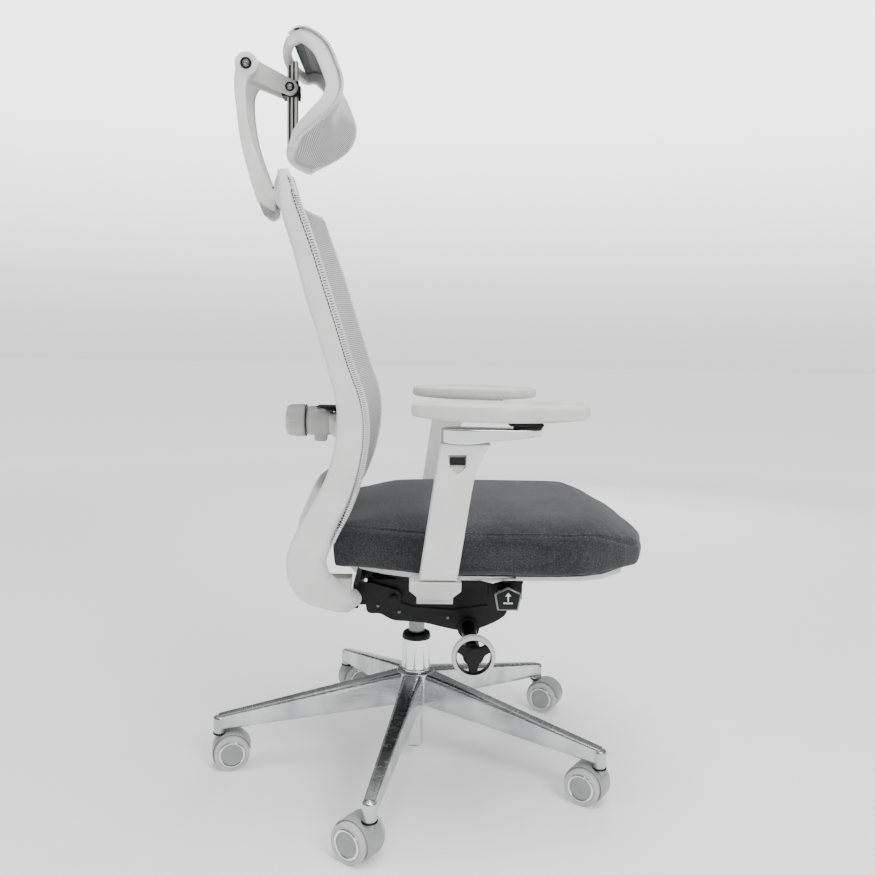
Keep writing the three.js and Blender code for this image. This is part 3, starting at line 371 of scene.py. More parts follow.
# A plate from a side outline of (y, z), x from one value to another, with rounded edges.
def sidePlate(bm, outline, low, high, bevel=0.0, segments=3):
    verts = [bm.verts.new((low, y, z)) for y, z in outline]
    face = bm.faces.new(verts)
    grown = bmesh.ops.extrude_face_region(bm, geom=[face])["geom"]
    far = [item for item in grown if isinstance(item, bmesh.types.BMVert)]
    bmesh.ops.translate(bm, verts=far, vec=(high - low, 0, 0))
    whole = verts + far
    faces = list({f for v in whole for f in v.link_faces})
    bmesh.ops.recalc_face_normals(bm, faces=faces)
    if bevel:
        near = set(verts)
        rims = list({e for f in faces if len({v in near for v in f.verts}) == 1 for e in f.edges})
        bmesh.ops.bevel(bm, geom=rims, offset=bevel, affect="EDGES", segments=segments, profile=0.5,
                        material=-1,
                        clamp_overlap=True)


def arcPoints(centre, radius, start, end, steps):
    made = []
    for i in range(steps + 1):
        angle = math.radians(start + (end - start) * i / steps)
        made.append((centre[0] + radius * math.cos(angle), centre[1] + radius * math.sin(angle)))
    return made


def block(bm, low, high, bevel=0.0, segments=3):
    made = bmesh.ops.create_cube(bm, size=1)["verts"]
    low, high = Vector(low), Vector(high)
    size = high - low
    bmesh.ops.scale(bm, vec=size, verts=made)
    bmesh.ops.translate(bm, vec=(low + high) / 2, verts=made)
    if bevel:
        edges = list({e for v in made for e in v.link_edges})
        bmesh.ops.bevel(bm, geom=edges, offset=bevel, affect="EDGES", segments=segments, profile=0.5,
                        material=-1)


def mirrorX(bm):
    bmesh.ops.scale(bm, vec=(-1, 1, 1), verts=bm.verts)
    bmesh.ops.reverse_faces(bm, faces=bm.faces)


def edgeRound(piece, width, segments=3, angle=28):
    bevel = piece.modifiers.new("softEdges", "BEVEL")
    bevel.width = width
    bevel.segments = segments
    bevel.limit_method = "ANGLE"
    bevel.angle_limit = math.radians(angle)
    bevel.harden_normals = True


# A copy of a CAD node with its flat faces made whole and its edges rounded.
def refined(node, look, width, angle=28):
    bm = bmesh.new()
    bm.from_mesh(nodes[node].data)
    bmesh.ops.remove_doubles(bm, verts=bm.verts, dist=1e-5)
    bmesh.ops.dissolve_limit(bm, angle_limit=math.radians(1.5), verts=bm.verts, edges=bm.edges)
    edgeRound(keep(node + "_fine", bm, look, nodes[node]["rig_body"], [node], angle), width, 2, angle)


def carry(node, look):  # a CAD node that stays, with its finish
    mesh = nodes[node].data
    mesh.materials.clear()
    mesh.materials.append(looks[look])


cushionSize = {"low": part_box("seat_cushion")[0], "half": 0.2535,
               "halfRear": 0.208, "side": 0.066, "crown": 0.099, "voxel": 6 * mm, "cap": 5 * mm,
               "seam": 0.063, "stitch": 4.2 * mm, "stitchGap": 2.6 * mm}


def ease(value, start, end):
    f = min(max((value - start) / (end - start), 0), 1)
    return f * f * (3 - 2 * f)


def cushionPoint(x, y, z, inset):  # a place on the cushion from -1..1 along each side
    size = cushionSize
    front, rear, base = -0.369, 0.142, size["low"].z
    u = x * math.sqrt(1 - (0.34 if y < 0 else 0.06) * y ** 4)
    v = y * math.sqrt(1 - (0.16 if y < 0 else 0.05) * x ** 4)
    middle = (front + rear) / 2
    place = middle + v * ((rear - front) / 2 - inset)
    narrow = ease(place, -0.04, rear - 0.02)
    half = size["half"] + (size["halfRear"] - size["half"]) * narrow - 0.016 * ease(-place, 0.242,
                                                                                    0.362) - inset
    fall = ease(-place, 0.262, 0.374)
    crown = (1 - abs(u) ** 3.2) * (1 - ease(place, rear - 0.11, rear + 0.02))
    side = base + size["side"]
    high = side + (size["crown"] - size["side"] - 0.002) * crown * (1 - 0.72 * fall) - 0.022 * fall - inset
    low = base + 0.007 * ease(-place, 0.252, 0.352) + inset
    swell = 1 + 0.012 * (1 - z * z)
    return Vector((u * half * swell, middle + (place - middle) * swell, low + (z + 1) / 2 * (high - low)))


def puff(piece, pressure, cap):  # inflates a closed soft shape a little, as foam under tight cloth
    before = [v.co.copy() for v in piece.data.vertices]
    cloth = piece.modifiers.new("foam", "CLOTH")
    settings = cloth.settings
    settings.use_pressure = True
    settings.uniform_pressure_force = pressure
    settings.effector_weights.gravity = 0
    settings.tension_stiffness = 22
    settings.compression_stiffness = 22
    settings.bending_stiffness = 1.5
    for step in range(1, 21):
        scene.frame_set(step)
    grown = piece.evaluated_get(bpy.context.evaluated_depsgraph_get()).to_mesh()
    after = [v.co.copy() for v in grown.vertices]
    piece.modifiers.remove(cloth)
    scene.frame_set(1)
    for vert, old, new in zip(piece.data.vertices, before, after):
        step = new - old
        vert.co = old + step * min(1, cap / max(step.length, 1e-9))


def makeCushion():
    bm = bmesh.new()
    bmesh.ops.create_cube(bm, size=2)
    bmesh.ops.subdivide_edges(bm, edges=bm.edges, cuts=15, use_grid_fill=True)
    for vert in bm.verts:
        vert.co = cushionPoint(*vert.co, 3 * mm)
    piece = keep("seat_upholstery", bm, "cloth", "seat", ["seat_cushion"], 180)
    remesh = piece.modifiers.new("even", "REMESH")
    remesh.mode = "VOXEL"
    remesh.voxel_size = cushionSize["voxel"]
    bpy.context.view_layer.update()
    graph = bpy.context.evaluated_depsgraph_get()
    even = bpy.data.meshes.new_from_object(piece.evaluated_get(graph))
    piece.modifiers.remove(remesh)
    piece.data = even
    puff(piece, 4.0, cushionSize["cap"])
    bm = bmesh.new()
    bm.from_mesh(piece.data)
    bmesh.ops.smooth_vert(bm, verts=bm.verts, factor=0.5, use_axis_x=True, use_axis_y=True, use_axis_z=True)
    bmesh.ops.subdivide_edges(bm, edges=bm.edges, cuts=1, use_grid_fill=True, smooth=0.4)
    bmesh.ops.smooth_vert(bm, verts=bm.verts, factor=0.5, use_axis_x=True, use_axis_y=True, use_axis_z=True)
    base = cushionSize["low"].z
    bm.normal_update()
    for vert in bm.verts:  # the seam pulls the cloth in, with a soft roll of foam to either side
        level = seamHeight(vert.co.y)
        if abs(vert.normal.z) < 0.8:
            off = (vert.co.z - level) / (3.2 * mm)
            pull = 2.0 * mm * math.exp(-off * off) - 0.5 * mm * math.exp(-((abs(off) - 2.4) ** 2))
            vert.co -= vert.normal * pull
        if vert.co.z < base + 1 * mm:
            vert.co.z = base + 1 * mm
    bm.to_mesh(piece.data)
    bm.free()
    piece.data.materials.clear()
    piece.data.materials.append(looks["cloth"])
    piece.data.shade_smooth()
    return piece


def seamHeight(y):
    return cushionSize["low"].z + cushionSize["seam"] + 0.004 - 0.026 * ease(-y, 0.25, 0.36)


def cushionSeam(cushion):
    mesh = cushion.data
    tree = BVHTree.FromPolygons([v.co.copy() for v in mesh.vertices], [p.vertices[:] for p in mesh.polygons])
    middle = Vector((0, -0.113, 0))
    points = []
    for i in range(1440):
        angle = 2 * math.pi * i / 1440
        aim = Vector((math.cos(angle), math.sin(angle), 0))
        height = cushionSize["low"].z + cushionSize["seam"]
        for again in range(3):
            hit = tree.ray_cast(Vector((0, middle.y, height)), aim)[0]
            height = seamHeight(hit.y)
        points.append(hit + aim * 0.2 * mm)
    for name, lift in (("seat_stitches_upper", 4.5 * mm), ("seat_stitches_lower", -4.5 * mm)):
        bm = bmesh.new()
        walked = 0.0
        for before, here in zip(points, points[1:] + points[:1]):
            walked += (here - before).length
            if walked < cushionSize["stitch"] + cushionSize["stitchGap"]:
                continue
            walked = 0.0
            spot, normal = tree.find_nearest(here + Vector((0, 0, lift)))[:2]
            along = (here - before).normalized()
            made = bmesh.ops.create_icosphere(bm, subdivisions=1, radius=0.42 * mm)["verts"]
            bmesh.ops.scale(bm, vec=(cushionSize["stitch"] / mm, 1.0, 0.8), verts=made)
            across = normal.cross(along).normalized()
            turnTo = Matrix((along, across, normal)).transposed().to_4x4()
            bmesh.ops.transform(bm, matrix=Matrix.Translation(spot) @ turnTo, verts=made)
        keep(name, bm, "thread", "seat", sharp=180)
    bm = bmesh.new()
    rings = []
    for i in range(0, 1440, 3):
        here = points[i] - (points[i] - Vector((0, middle.y, points[i].z))).normalized() * 0.9 * mm
        rings.append(bmesh.ops.create_circle(bm, segments=6, radius=1.1 * mm)["verts"])
        onward = (points[(i + 3) % 1440] - points[i]).normalized()
        bmesh.ops.transform(bm, matrix=toAxis(here, onward), verts=rings[-1])
    joinRings(bm, rings, closed=True)
    keep("seat_seam_cord", bm, "cloth", "seat", sharp=180)


def makePan():
    low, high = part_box("seat_pan")
    bm = bmesh.new()
    bmesh.ops.create_cube(bm, size=2)
    bmesh.ops.subdivide_edges(bm, edges=bm.edges, cuts=11, use_grid_fill=True)
    middle, reach = (low.y + high.y) / 2, (high.y - low.y) / 2
    for vert in bm.verts:
        x, y, z = vert.co
        u, v = x * math.sqrt(1 - 0.34 * y ** 4), y * math.sqrt(1 - 0.16 * x ** 4)
        place = middle + v * reach
        narrow = ease(place, -0.04, 0.115)
        half = 0.226 - 0.044 * narrow - 0.016 * ease(-place, 0.242, 0.362)
        rise = 0.007 * ease(-place, 0.252, 0.352)
        dish = 0.009 * max(abs(u), abs(v)) ** 5 if z < 0 else 0
        top = low.z + 0.0152 + max(rise - 1.5 * mm, 0)
        vert.co = (u * half, place, top if z > 0 else low.z + rise + dish + (z + 1) * 0.004)
    piece = keep("seat_shell", bm, "white", "seat", ["seat_pan"], 50)
    edgeRound(piece, 2 * mm, 3, 50)


def legCovers():  # rounded covers in the crook of the back's legs, just under the seat
    for side, word in ((-1, "right"), (1, "left")):
        bm = bmesh.new()
        outline = [(0.140, 0.372), *arcPoints((0.122, 0.360), 0.0165, 15, -80, 6), (0.106, 0.349),
                   (0.104, 0.372)]
        sidePlate(bm, outline, 0.146, 0.180, 3 * mm, 4)
        keep("back_leg_cover_" + word, bm, "grey", "back", sharp=40, flip=side < 0)


cushion = makeCushion()
cushionSeam(cushion)
makePan()
print("seat made:", len(cushion.data.polygons), "faces in the cushion")


backSize = {"half": 0.235, "thick": 0.034, "steps": 72, "edging": 15 * mm, "edgingHigh": 4.5 * mm,
            "rib": 3.2 * mm}
# x from the middle, y, z, width, thickness, chamfer (0 none to 1 full)
memberRows = [(0.232, 0.204, 0.9828, 0.016, 0.022, 0), (0.235, 0.193, 0.9298, 0.027, 0.032, 0),
              (0.235, 0.173, 0.8698, 0.030, 0.034, 0), (0.235, 0.155, 0.8098, 0.033, 0.034, 0),
              (0.235, 0.136, 0.7518, 0.033, 0.034, 0), (0.235, 0.120, 0.6998, 0.034, 0.034, 0),
              (0.235, 0.106, 0.6548, 0.039, 0.034, 0), (0.235, 0.102, 0.6178, 0.043, 0.034, 0),
              (0.235, 0.105, 0.5798, 0.045, 0.034, 0), (0.235, 0.114, 0.5398, 0.047, 0.034, 0.08),
              (0.235, 0.130, 0.4998, 0.051, 0.034, 0.35), (0.235, 0.154, 0.4518, 0.056, 0.034, 0.8),
              (0.233, 0.168, 0.4118, 0.058, 0.034, 1), (0.223, 0.160, 0.3768, 0.057, 0.034, 1),
              (0.193, 0.137, 0.3518, 0.046, 0.032, 0.9), (0.166, 0.119, 0.3348, 0.039, 0.028, 0.6),
              (0.128, 0.108, 0.3218, 0.038, 0.026, 0.3)]
netStart, netEnd = 0.012, 11 / 16


def memberSection(row):  # a rounded oblong, with a bevel on its front outer corner lower down
    width, thick, cut = row[3] / 2, row[4] / 2, min(max(row[5], 0), 1)
    corner = min(7 * mm, width * 0.7, thick * 0.7)
    made = []
    for x, y, start in ((1, 1, 0), (-1, 1, 90), (-1, -1, 180), (1, -1, 270)):
        size = corner
        if (x, y) == sectionBevel:
            size = corner + cut * (min(width, thick) * 1.7 - corner)
        for i in range(7):
            angle = math.radians(start + 15 * i)
            a = x * (width - size) + size * math.cos(angle)
            b = y * (thick - size) + size * math.sin(angle)
            made.append((a / width, b / thick))
    return made


sectionBevel = (-1, 1)


def makeBackFrame():
    bm = bmesh.new()
    sweep(bm, memberRows, memberSection, backSize["steps"])
    mirrored = bm.copy()
    mirrorX(mirrored)
    spare = bpy.data.meshes.new("spare")
    mirrored.to_mesh(spare)
    mirrored.free()
    bm.from_mesh(spare)
    bpy.data.meshes.remove(spare)
    top = [(u * 0.222, 0.206 + 0.03 * (1 - u * u), 0.9728, 0.024, 0.016) for u in (-1, -0.5, 0, 0.5, 1)]
    soft = ovalSection(28, 0.42)
    sweep(bm, top, soft, 30, side=(0, 1, 0))
    tilt = math.radians(23)
    low = [(u * 0.224, 0.154 + 0.03 * (1 - u * u), 0.4698, 0.082, 0.014) for u in (-1, -0.5, 0, 0.5, 1)]
    sweep(bm, low, soft, 30, side=(0, math.cos(tilt), math.sin(tilt)))
    keep("back_frame_moulding", bm, "white", "back", ["back_frame"], 40)


def netFrame(v):  # where the net's edge runs, and which way is forward there
    u = netStart + (netEnd - netStart) * v
    row = splineAt(memberRows, u)
    centre, across = frameAt(memberRows, u, (1, 0, 0))[:2]
    if across.y > 0:
        across = -across
    return centre, across, row[3] / 2


def makeBackNet():
    half, bow, thick = backSize["half"] - 0.002, 0.024, netSize["thick"]
    inner = backSize["half"] - 0.029
    length = 0.51
    ribs = round(length / netSize["pitch"])
    bm = bmesh.new()
    bmesh.ops.create_grid(bm, x_segments=40, y_segments=ribs * 4, size=1, calc_uvs=True)
    uv = bm.loops.layers.uv.verify()
    for face in bm.faces:
        for loop in face.loops:
            x, y = loop.vert.co.x, loop.vert.co.y
            loop[uv].uv = (x * half, (y + 1) / 2 * ribs * netSize["pitch"])
    for vert in bm.verts:
        x, y = vert.co.x, vert.co.y
        centre, forward, reach = netFrame((1 - y) / 2)
        place = x * half
        within = min(abs(place) / inner, 1)
        cord = netSize["ribDepth"] * math.sin(math.pi * 2 * (y + 1) / 2 * ribs) * 0.5
        out = reach + 2.8 * mm - bow * (1 - within ** 2) + cord
        vert.co = Vector((place, centre.y, centre.z)) + forward * out
    bmesh.ops.recalc_face_normals(bm, faces=bm.faces)
    bmesh.ops.solidify(bm, geom=bm.faces[:], thickness=thick)
    piece = keep("back_net", bm, "net", "back", ["back_mesh"], 180)


def ribBand(bm, placeAt, count, wide, high):  # short raised ribs in a row, each a closed roll of yarn
    for i in range(count):
        rings = []
        for share, swell in ((0.17, 0.72), (0.32, 1), (0.68, 1), (0.83, 0.72)):
            v = (i + share) / count
            at, beside, outward = placeAt(v)
            fade = min(1, 7 * v + 0.35, 7 * (1 - v) + 0.35)
            rings.append(addRing(bm, at, beside * wide * (0.96 + 0.04 * swell),
                                 outward * high * swell * fade, ovalSection(10, 0.6)))
        joinRings(bm, rings)


# a ribbed band sewn along the front of each upright, over a dark core that is painted shade between the ribs,
# with a dotted seam behind it whose dark line is painted shade in its groove
def makeNetEdging(side, word):
    wide, high = backSize["edging"], backSize["edgingHigh"]

    def placeAt(v, sink=0.0):
        centre, forward, reach = netFrame(v)
        return centre + forward * (reach + 0.6 * mm - sink), Vector((1, 0, 0)), forward

    bm = bmesh.new()
    ribBand(bm, placeAt, round(0.545 / backSize["rib"]), wide, high)
    keep("back_net_edging_" + word, bm, "edging", "back", sharp=50, flip=side < 0)
    # painted shade: a dark core under the ribs, so the gaps between them read dark
    bm = bmesh.new()
    rows = []
    for i in range(15):
        at = placeAt(0.05 + 0.9 * i / 14, 0.8 * mm)[0]
        rows.append((*at, high * 1.5, wide * 1.9))
    band = ovalSection(16, 0.6)
    sweep(bm, rows, band, 70)
    keep("back_net_edging_rib_shade_" + word, bm, "shadowGap", "back", sharp=60, flip=side < 0)
    # the seam's dark line under the light stitches is painted shade in its groove
    for name, look, beads, grow in (("back_net_seam_shade_", "shadowGap", False, 0.0),
                                    ("back_net_stitches_", "edging", True, 0.7 * mm)):
        bm = bmesh.new()
        rings = []
        for i in range(120 if beads else 121):
            v = (i + (0.5 if beads else 0)) / 120
            centre, forward, reach = netFrame(v)
            inset = 0.7 if v < 0.04 else 0.985
            at = centre + forward * (reach - 3.4 * mm) + Vector((backSize["thick"] / 2 * inset + grow, 0, 0))
            if beads:
                made = bmesh.ops.create_icosphere(bm, subdivisions=1, radius=0.9 * mm)["verts"]
                bmesh.ops.translate(bm, vec=at, verts=made)
            else:
                rings.append(bmesh.ops.create_circle(bm, segments=6, radius=0.9 * mm)["verts"])
                onward = (netFrame(min(v + 0.01, 1))[0] - netFrame(max(v - 0.01, 0))[0]).normalized()
                bmesh.ops.transform(bm, matrix=toAxis(at, onward), verts=rings[-1])
        if rings:
            joinRings(bm, rings)
        keep(name + word, bm, look, "back", sharp=180, flip=side < 0)


makeBackFrame()
makeBackNet()
for side, word in ((-1, "right"), (1, "left")):
    makeNetEdging(side, word)
legCovers()
refined("back_yoke", "powder", 1.0 * mm)
print("back made")


lumbarSize = {"z": (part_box("lumbar_knob")[0].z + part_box("lumbar_knob")[1].z) / 2, "knob": 0.0285, "grips": 10}


def makeLumbarBar():
    z, half = lumbarSize["z"], 0.2174
    rows = [(u * half, 0.112 + 0.034 * (1 - u * u), z, 0.028, 0.018) for u in (-1, -0.5, 0, 0.5, 1)]
    soft = ovalSection(24, 0.45)
    bm = bmesh.new()
    sweep(bm, rows, soft, 32, side=(0, 1, 0))
    pod = softProfile([(0.0001, 0), (0.0235, 0), (0.0255, 0.008), (0.0255, 0.038), (0.0225, 0.044),
                       (0.0001, 0.044)], 2.5 * mm)
    turn(bm, pod, (0, 0.152, z), (0, 1, 0), 48)
    keep("lumbar_cross_bar", bm, "grey", "back", ["lumbar_bar"], 35)
    bm = bmesh.new()
    block(bm, (-0.019, 0.160, z - 0.019), (0.019, 0.181, z + 0.023), 4 * mm, 4)
    keep("lumbar_gear_cover", bm, "grey", "back", sharp=35)
    bm = bmesh.new()
    outline = [(0.160, z - 0.012), *arcPoints((0.166, z - 0.031), 0.005, 200, 290, 4),
               *arcPoints((0.177, z - 0.030), 0.005, 270, 350, 4), (0.1825, z - 0.012)]
    sidePlate(bm, outline, -0.010, 0.010, 1.5 * mm, 3)
    keep("lumbar_release_lever", bm, "grey", "back", sharp=35)
    bm = bmesh.new()
    outline = [(0.128, z + 0.014), (0.178, z + 0.026), (0.140, z + 0.026), (0.118, z + 0.022)]
    sidePlate(bm, outline, -0.03, 0.03, 1 * mm, 2)
    keep("lumbar_slide_cover", bm, "black", "back", sharp=35)


def makeLumbarKnob():
    r, z = lumbarSize["knob"], lumbarSize["z"]
    bm = bmesh.new()
    profile = softProfile([(0.0001, 0), (r - 1.5 * mm, 0), (r, 0.004), (r - 1.2 * mm, 0.028),
                           (r - 5 * mm, 0.0335),
                           (0.0001, 0.0342)], 3 * mm, 4)
    turn(bm, profile, steps=120)
    for vert in bm.verts:  # shallow finger flats round the side
        angle = math.atan2(vert.co.y, vert.co.x)
        off = math.hypot(vert.co.x, vert.co.y)
        if off > r * 0.8:
            dip = 1 - 0.035 * max(math.cos(angle * lumbarSize["grips"]), 0) ** 2 * ease(vert.co.z, 0.001,
                                                                                        0.008)
            vert.co.x *= dip
            vert.co.y *= dip
    bmesh.ops.transform(bm, matrix=toAxis((0, 0.197, z), (0, 1, 0)), verts=bm.verts)
    keep("lumbar_turn_knob", bm, "grey", "lumbar_knob", ["lumbar_knob"], 50)
    bm = bmesh.new()
    seal = [(r - 3 * mm, -0.6 * mm), (r - 0.8 * mm, -0.6 * mm), (r - 0.8 * mm, -0.1 * mm),
            (r - 3 * mm, -0.1 * mm)]
    turn(bm, seal, (0, 0.197, z), (0, 1, 0), 64, closed=True)
    keep("lumbar_knob_seal", bm, "shadowGap", "back", sharp=60)


def makeLumbarPad():
    z = lumbarSize["z"]
    bm = bmesh.new()
    bmesh.ops.create_cube(bm, size=2)
    bmesh.ops.subdivide_edges(bm, edges=bm.edges, cuts=9, use_grid_fill=True)
    for vert in bm.verts:
        x, y, h = vert.co
        vert.co = (x * math.sqrt(1 - 0.3 * h ** 4) * 0.104, 0.122 + y * 0.0034 - 0.006 * x * x,
                   z + h * 0.041 * (1 - 0.25 * x ** 4))
    piece = keep("lumbar_pad_shell", bm, "grey", "lumbar_pad", ["lumbar_pad"], 60)
    edgeRound(piece, 1.5 * mm, 3, 50)


makeLumbarBar()
makeLumbarKnob()
makeLumbarPad()
print("lumbar unit made")


headSize = {"half": 0.150, "bow": 0.016, "ring": 0.143, "thick": 0.014}
# share of the half width, y, z, width
headRows = [(0.70, 0.213, 1.2048, 0.016), (0.80, 0.192, 1.2088, 0.020), (0.94, 0.164, 1.1858, 0.024),
            (1.0, 0.147, 1.1508, 0.025), (1.0, 0.141, 1.1258, 0.024), (1.0, 0.151, 1.1028, 0.023),
            (0.96, 0.172, 1.0838, 0.020), (0.85, 0.196, 1.0648, 0.016), (0.70, 0.208, 1.0468, 0.013)]
boltOne = Vector(joints["headrest_link_pivot"]["pos_m"])
boltTwo = Vector(joints["headrest_tilt"]["pos_m"])


def headLine(half):
    return [(share * half, y, z, width, headSize["thick"]) for share, y, z, width in headRows]


def makeHeadFrame():
    bm = bmesh.new()
    soft = ovalSection(24, 0.5)
    for side in (-1, 1):
        sweep(bm, headLine(side * headSize["ring"]), soft, 54)
    for row, depth in ((headLine(headSize["ring"])[0], 0.014), (headLine(headSize["ring"])[-1], 0.012)):
        rows = [(u * row[0], row[1] + headSize["bow"] * (1 - u * u), row[2], row[3], depth)
                for u in (-1, -0.5, 0, 0.5, 1)]
        sweep(bm, rows, soft, 24, side=(0, 1, 0))
    keep("headrest_ring", bm, "white", "headrest", ["headrest_frame"], 40)
    low, high = 1.047, 1.205
    bm, core = bmesh.new(), bmesh.new()
    for y0, y1 in ((-0.010, -0.0055), (-0.0025, 0.0010), (0.0040, 0.0070)):
        block(bm, (-0.008, boltTwo.y + y0, low), (0.008, boltTwo.y + y1, high), 0.7 * mm, 2)
    block(core, (-0.0066, boltTwo.y - 0.0095, low + 0.001), (0.0066, boltTwo.y + 0.0065, high - 0.001),
          0.3 * mm, 1)
    keep("headrest_rail", bm, "white", "headrest", sharp=35)
    keep("headrest_rail_core", core, "black", "headrest", sharp=35)


def headPoint(x, v, out, rows):  # a place on the net: x from -1 to 1, v from 0 at the top to 1 below
    u = 0.02 + 0.96 * v
    row = splineAt(rows, u)
    line = frameAt(rows, u, (1, 0, 0))
    centre, along = line[0], line[3]
    across = Vector((0, -along.z, along.y)).normalized()
    if across.y * (centre.y - 0.215) + across.z * (centre.z - 1.125) < 0:
        across = -across
    bow = headSize["bow"] * (1 - min(abs(x) * 1.12, 1) ** 2) * math.cos((v - 0.5) * math.pi)
    reach = row[3] / 2 + out
    inner = 1 - x * x
    home = ease(v, 0.80, 1.0)  # the foot of the net rounds forward and down, then back to the bar behind it
    swell = inner * ease(v, 0.5, 0.85) * (1 - home)
    spot = Vector((x * row[0], centre.y + across.y * reach + bow, centre.z + across.z * reach))
    return spot + Vector((0, -0.014 * swell + (0.003 + 0.016 * inner) * home,
                          -0.017 * swell - 0.004 * inner * home)), across


def makeHeadNet():
    rows = headLine(headSize["half"])
    ribs = round(0.27 / netSize["pitch"])
    bm = bmesh.new()
    bmesh.ops.create_grid(bm, x_segments=48, y_segments=ribs * 4, size=1, calc_uvs=True)
    uv = bm.loops.layers.uv.verify()
    for face in bm.faces:
        for loop in face.loops:
            x, y = loop.vert.co.x, loop.vert.co.y
            loop[uv].uv = (x * headSize["half"], (y + 1) / 2 * ribs * netSize["pitch"])
    for vert in bm.verts:
        x, y = vert.co.x, vert.co.y
        cord = netSize["ribDepth"] * 1.3 * math.sin(math.pi * (y + 1) * ribs)
        vert.co = headPoint(x, (1 - y) / 2, 1.6 * mm + cord, rows)[0]
    bmesh.ops.recalc_face_normals(bm, faces=bm.faces)
    bmesh.ops.solidify(bm, geom=bm.faces[:], thickness=netSize["thick"])
    piece = keep("headrest_net", bm, "headNet", "headrest", ["headrest_mesh"], 180)
    bm, core = bmesh.new(), bmesh.new()
    for side in (-1, 1):
        def placeAt(v, sink=0.0):
            spot, outward = headPoint(side, v, 1.2 * mm - sink, rows)
            onward = headPoint(side, min(v + 0.01, 1), 0, rows)[0] - headPoint(side, max(v - 0.01, 0), 0,
                                                                               rows)[0]
            return spot - Vector((side * 1.5 * mm, 0,
                                  0)), onward.normalized().cross(outward).normalized(), outward

        ribBand(bm, placeAt, 94, 7 * mm, 2.6 * mm)
        # painted shade: a dark core under the ribs, so the gaps between them read dark
        rings = []
        for i in range(61):
            at, beside, outward = placeAt(0.06 + 0.88 * i / 60, 0.7 * mm)
            rings.append(addRing(core, at, beside * 6.5 * mm, outward * 1.7 * mm, ovalSection(12, 0.6)))
        joinRings(core, rings)
    keep("headrest_net_edging", bm, "edging", "headrest", sharp=50)
    keep("headrest_net_edging_rib_shade", core, "shadowGap", "headrest", sharp=60)


forkRows = [(1, 0.292, 1.1868, 0.034), (1, 0.302, 1.1578, 0.021), (1, 0.300, 1.1148, 0.017),
            (0.96, 0.292, 1.0648, 0.020),
            (0.84, 0.276, 1.0118, 0.026), (0.62, 0.262, 0.9748, 0.032)]


def makeFork():
    bm = bmesh.new()
    soft = ovalSection(24, 0.5)
    for side in (-1, 1):
        rows = [(side * 0.040 * share, y, z, width, 0.012) for share, y, z, width in forkRows]
        sweep(bm, rows, soft, 40)
        start = Vector((side * 0.034, boltOne.y, boltOne.z))
        rim = softProfile([(0.0001, 0), (0.019, 0), (0.019, 0.0122), (0.0001, 0.0122)], 1.6 * mm, 3)
        turn(bm, rim, start, (side, 0, 0), 48)
    foot = [(0.247, 0.9918), (0.247, 0.9558), *arcPoints((0.259, 0.9575), 0.008, 215, 320, 5),
            (0.276, 0.9765), (0.280, 0.9918)]
    sidePlate(bm, foot, -0.031, 0.031, 3 * mm, 4)
    keep("headrest_post", bm, "white", "back", ["headrest_fork"], 40)
    bm = bmesh.new()
    foot = [(0.2475, 0.953), *arcPoints((0.260, 0.9545), 0.0085, 225, 315, 5), (0.2755, 0.9705),
            (0.262, 0.961)]
    sidePlate(bm, foot, -0.0325, 0.0325, 1.5 * mm, 3)
    keep("headrest_post_sole", bm, "cap", "back", sharp=35)
    bm = bmesh.new()
    block(bm, (-0.022, 0.226, 0.9872), (0.022, 0.254, 0.9962), 1.5 * mm, 2)
    keep("headrest_post_bracket", bm, "black", "back", sharp=35)


# a black cup with a bright hexagon socket screw in it
def boltPiece(name, centre, reach, radius, body, replaced):
    bm = bmesh.new()
    for side in (-1, 1):
        head = softProfile([(0.0001, 0), (radius * 0.62, 0), (radius * 0.62, 1.6 * mm),
                            (radius * 0.28, 1.6 * mm),
                            (radius * 0.26, 0.5 * mm), (0.0001, 0.5 * mm)], 0.4 * mm, 2)
        turn(bm, head, centre + Vector((side * (reach + 0.6 * mm), 0, 0)), (side, 0, 0), 36)
    turn(bm, [(0.0001, -reach), (radius * 0.5, -reach), (radius * 0.5, reach), (0.0001, reach)], centre,
         (1, 0, 0), 24)
    keep(name, bm, "chrome", body, [replaced], 40)
    bm = bmesh.new()
    for side in (-1, 1):
        cup = [(radius * 0.45, 0), (radius, 0), (radius, 2.4 * mm), (radius * 0.86, 2.6 * mm),
               (radius * 0.8, 1.0 * mm),
               (radius * 0.45, 0.6 * mm)]
        turn(bm, cup, centre + Vector((side * reach, 0, 0)), (side, 0, 0), 40, closed=True)
    keep(name + "_cup", bm, "black", body, sharp=40)


def makeLink():
    slope = math.degrees(math.atan2(boltOne.z - boltTwo.z, boltOne.y - boltTwo.y))
    big = arcPoints((boltOne.y, boltOne.z), 0.017, slope - 90, slope + 90, 14)
    small = arcPoints((boltTwo.y, boltTwo.z), 0.0125, slope + 90, slope + 270, 14)
    bm = bmesh.new()
    for x0, x1 in ((-0.027, -0.018), (0.018, 0.027)):
        sidePlate(bm, big + small, x0, x1, 1.6 * mm, 3)
    keep("headrest_arm_cheeks", bm, "grey", "headrest_link", ["headrest_link"], 35)
    bm = bmesh.new()
    up = Vector((0, -math.sin(math.radians(slope)), math.cos(math.radians(slope))))
    along = Vector((0, math.cos(math.radians(slope)), math.sin(math.radians(slope))))
    a, b = boltTwo + along * 0.026, boltOne - along * 0.004
    outline = [a + up * 0.0105, a + up * 0.005, b + up * 0.004, b + up * 0.0145]
    sidePlate(bm, [(p.y, p.z) for p in outline], -0.0185, 0.0185, 0.8 * mm, 2)
    keep("headrest_arm_web", bm, "cap", "headrest_link", sharp=35)


makeHeadFrame()
makeHeadNet()
makeFork()
makeLink()
boltPiece("headrest_screw_upper", boltOne, 0.0464, 0.0092, "back", "headrest_bolt_upper")
boltPiece("headrest_screw_lower", boltTwo, 0.0274, 0.0075, "headrest_link", "headrest_bolt_lower")
refined("headrest_slider", "black", 0.8 * mm)
print("headrest made")


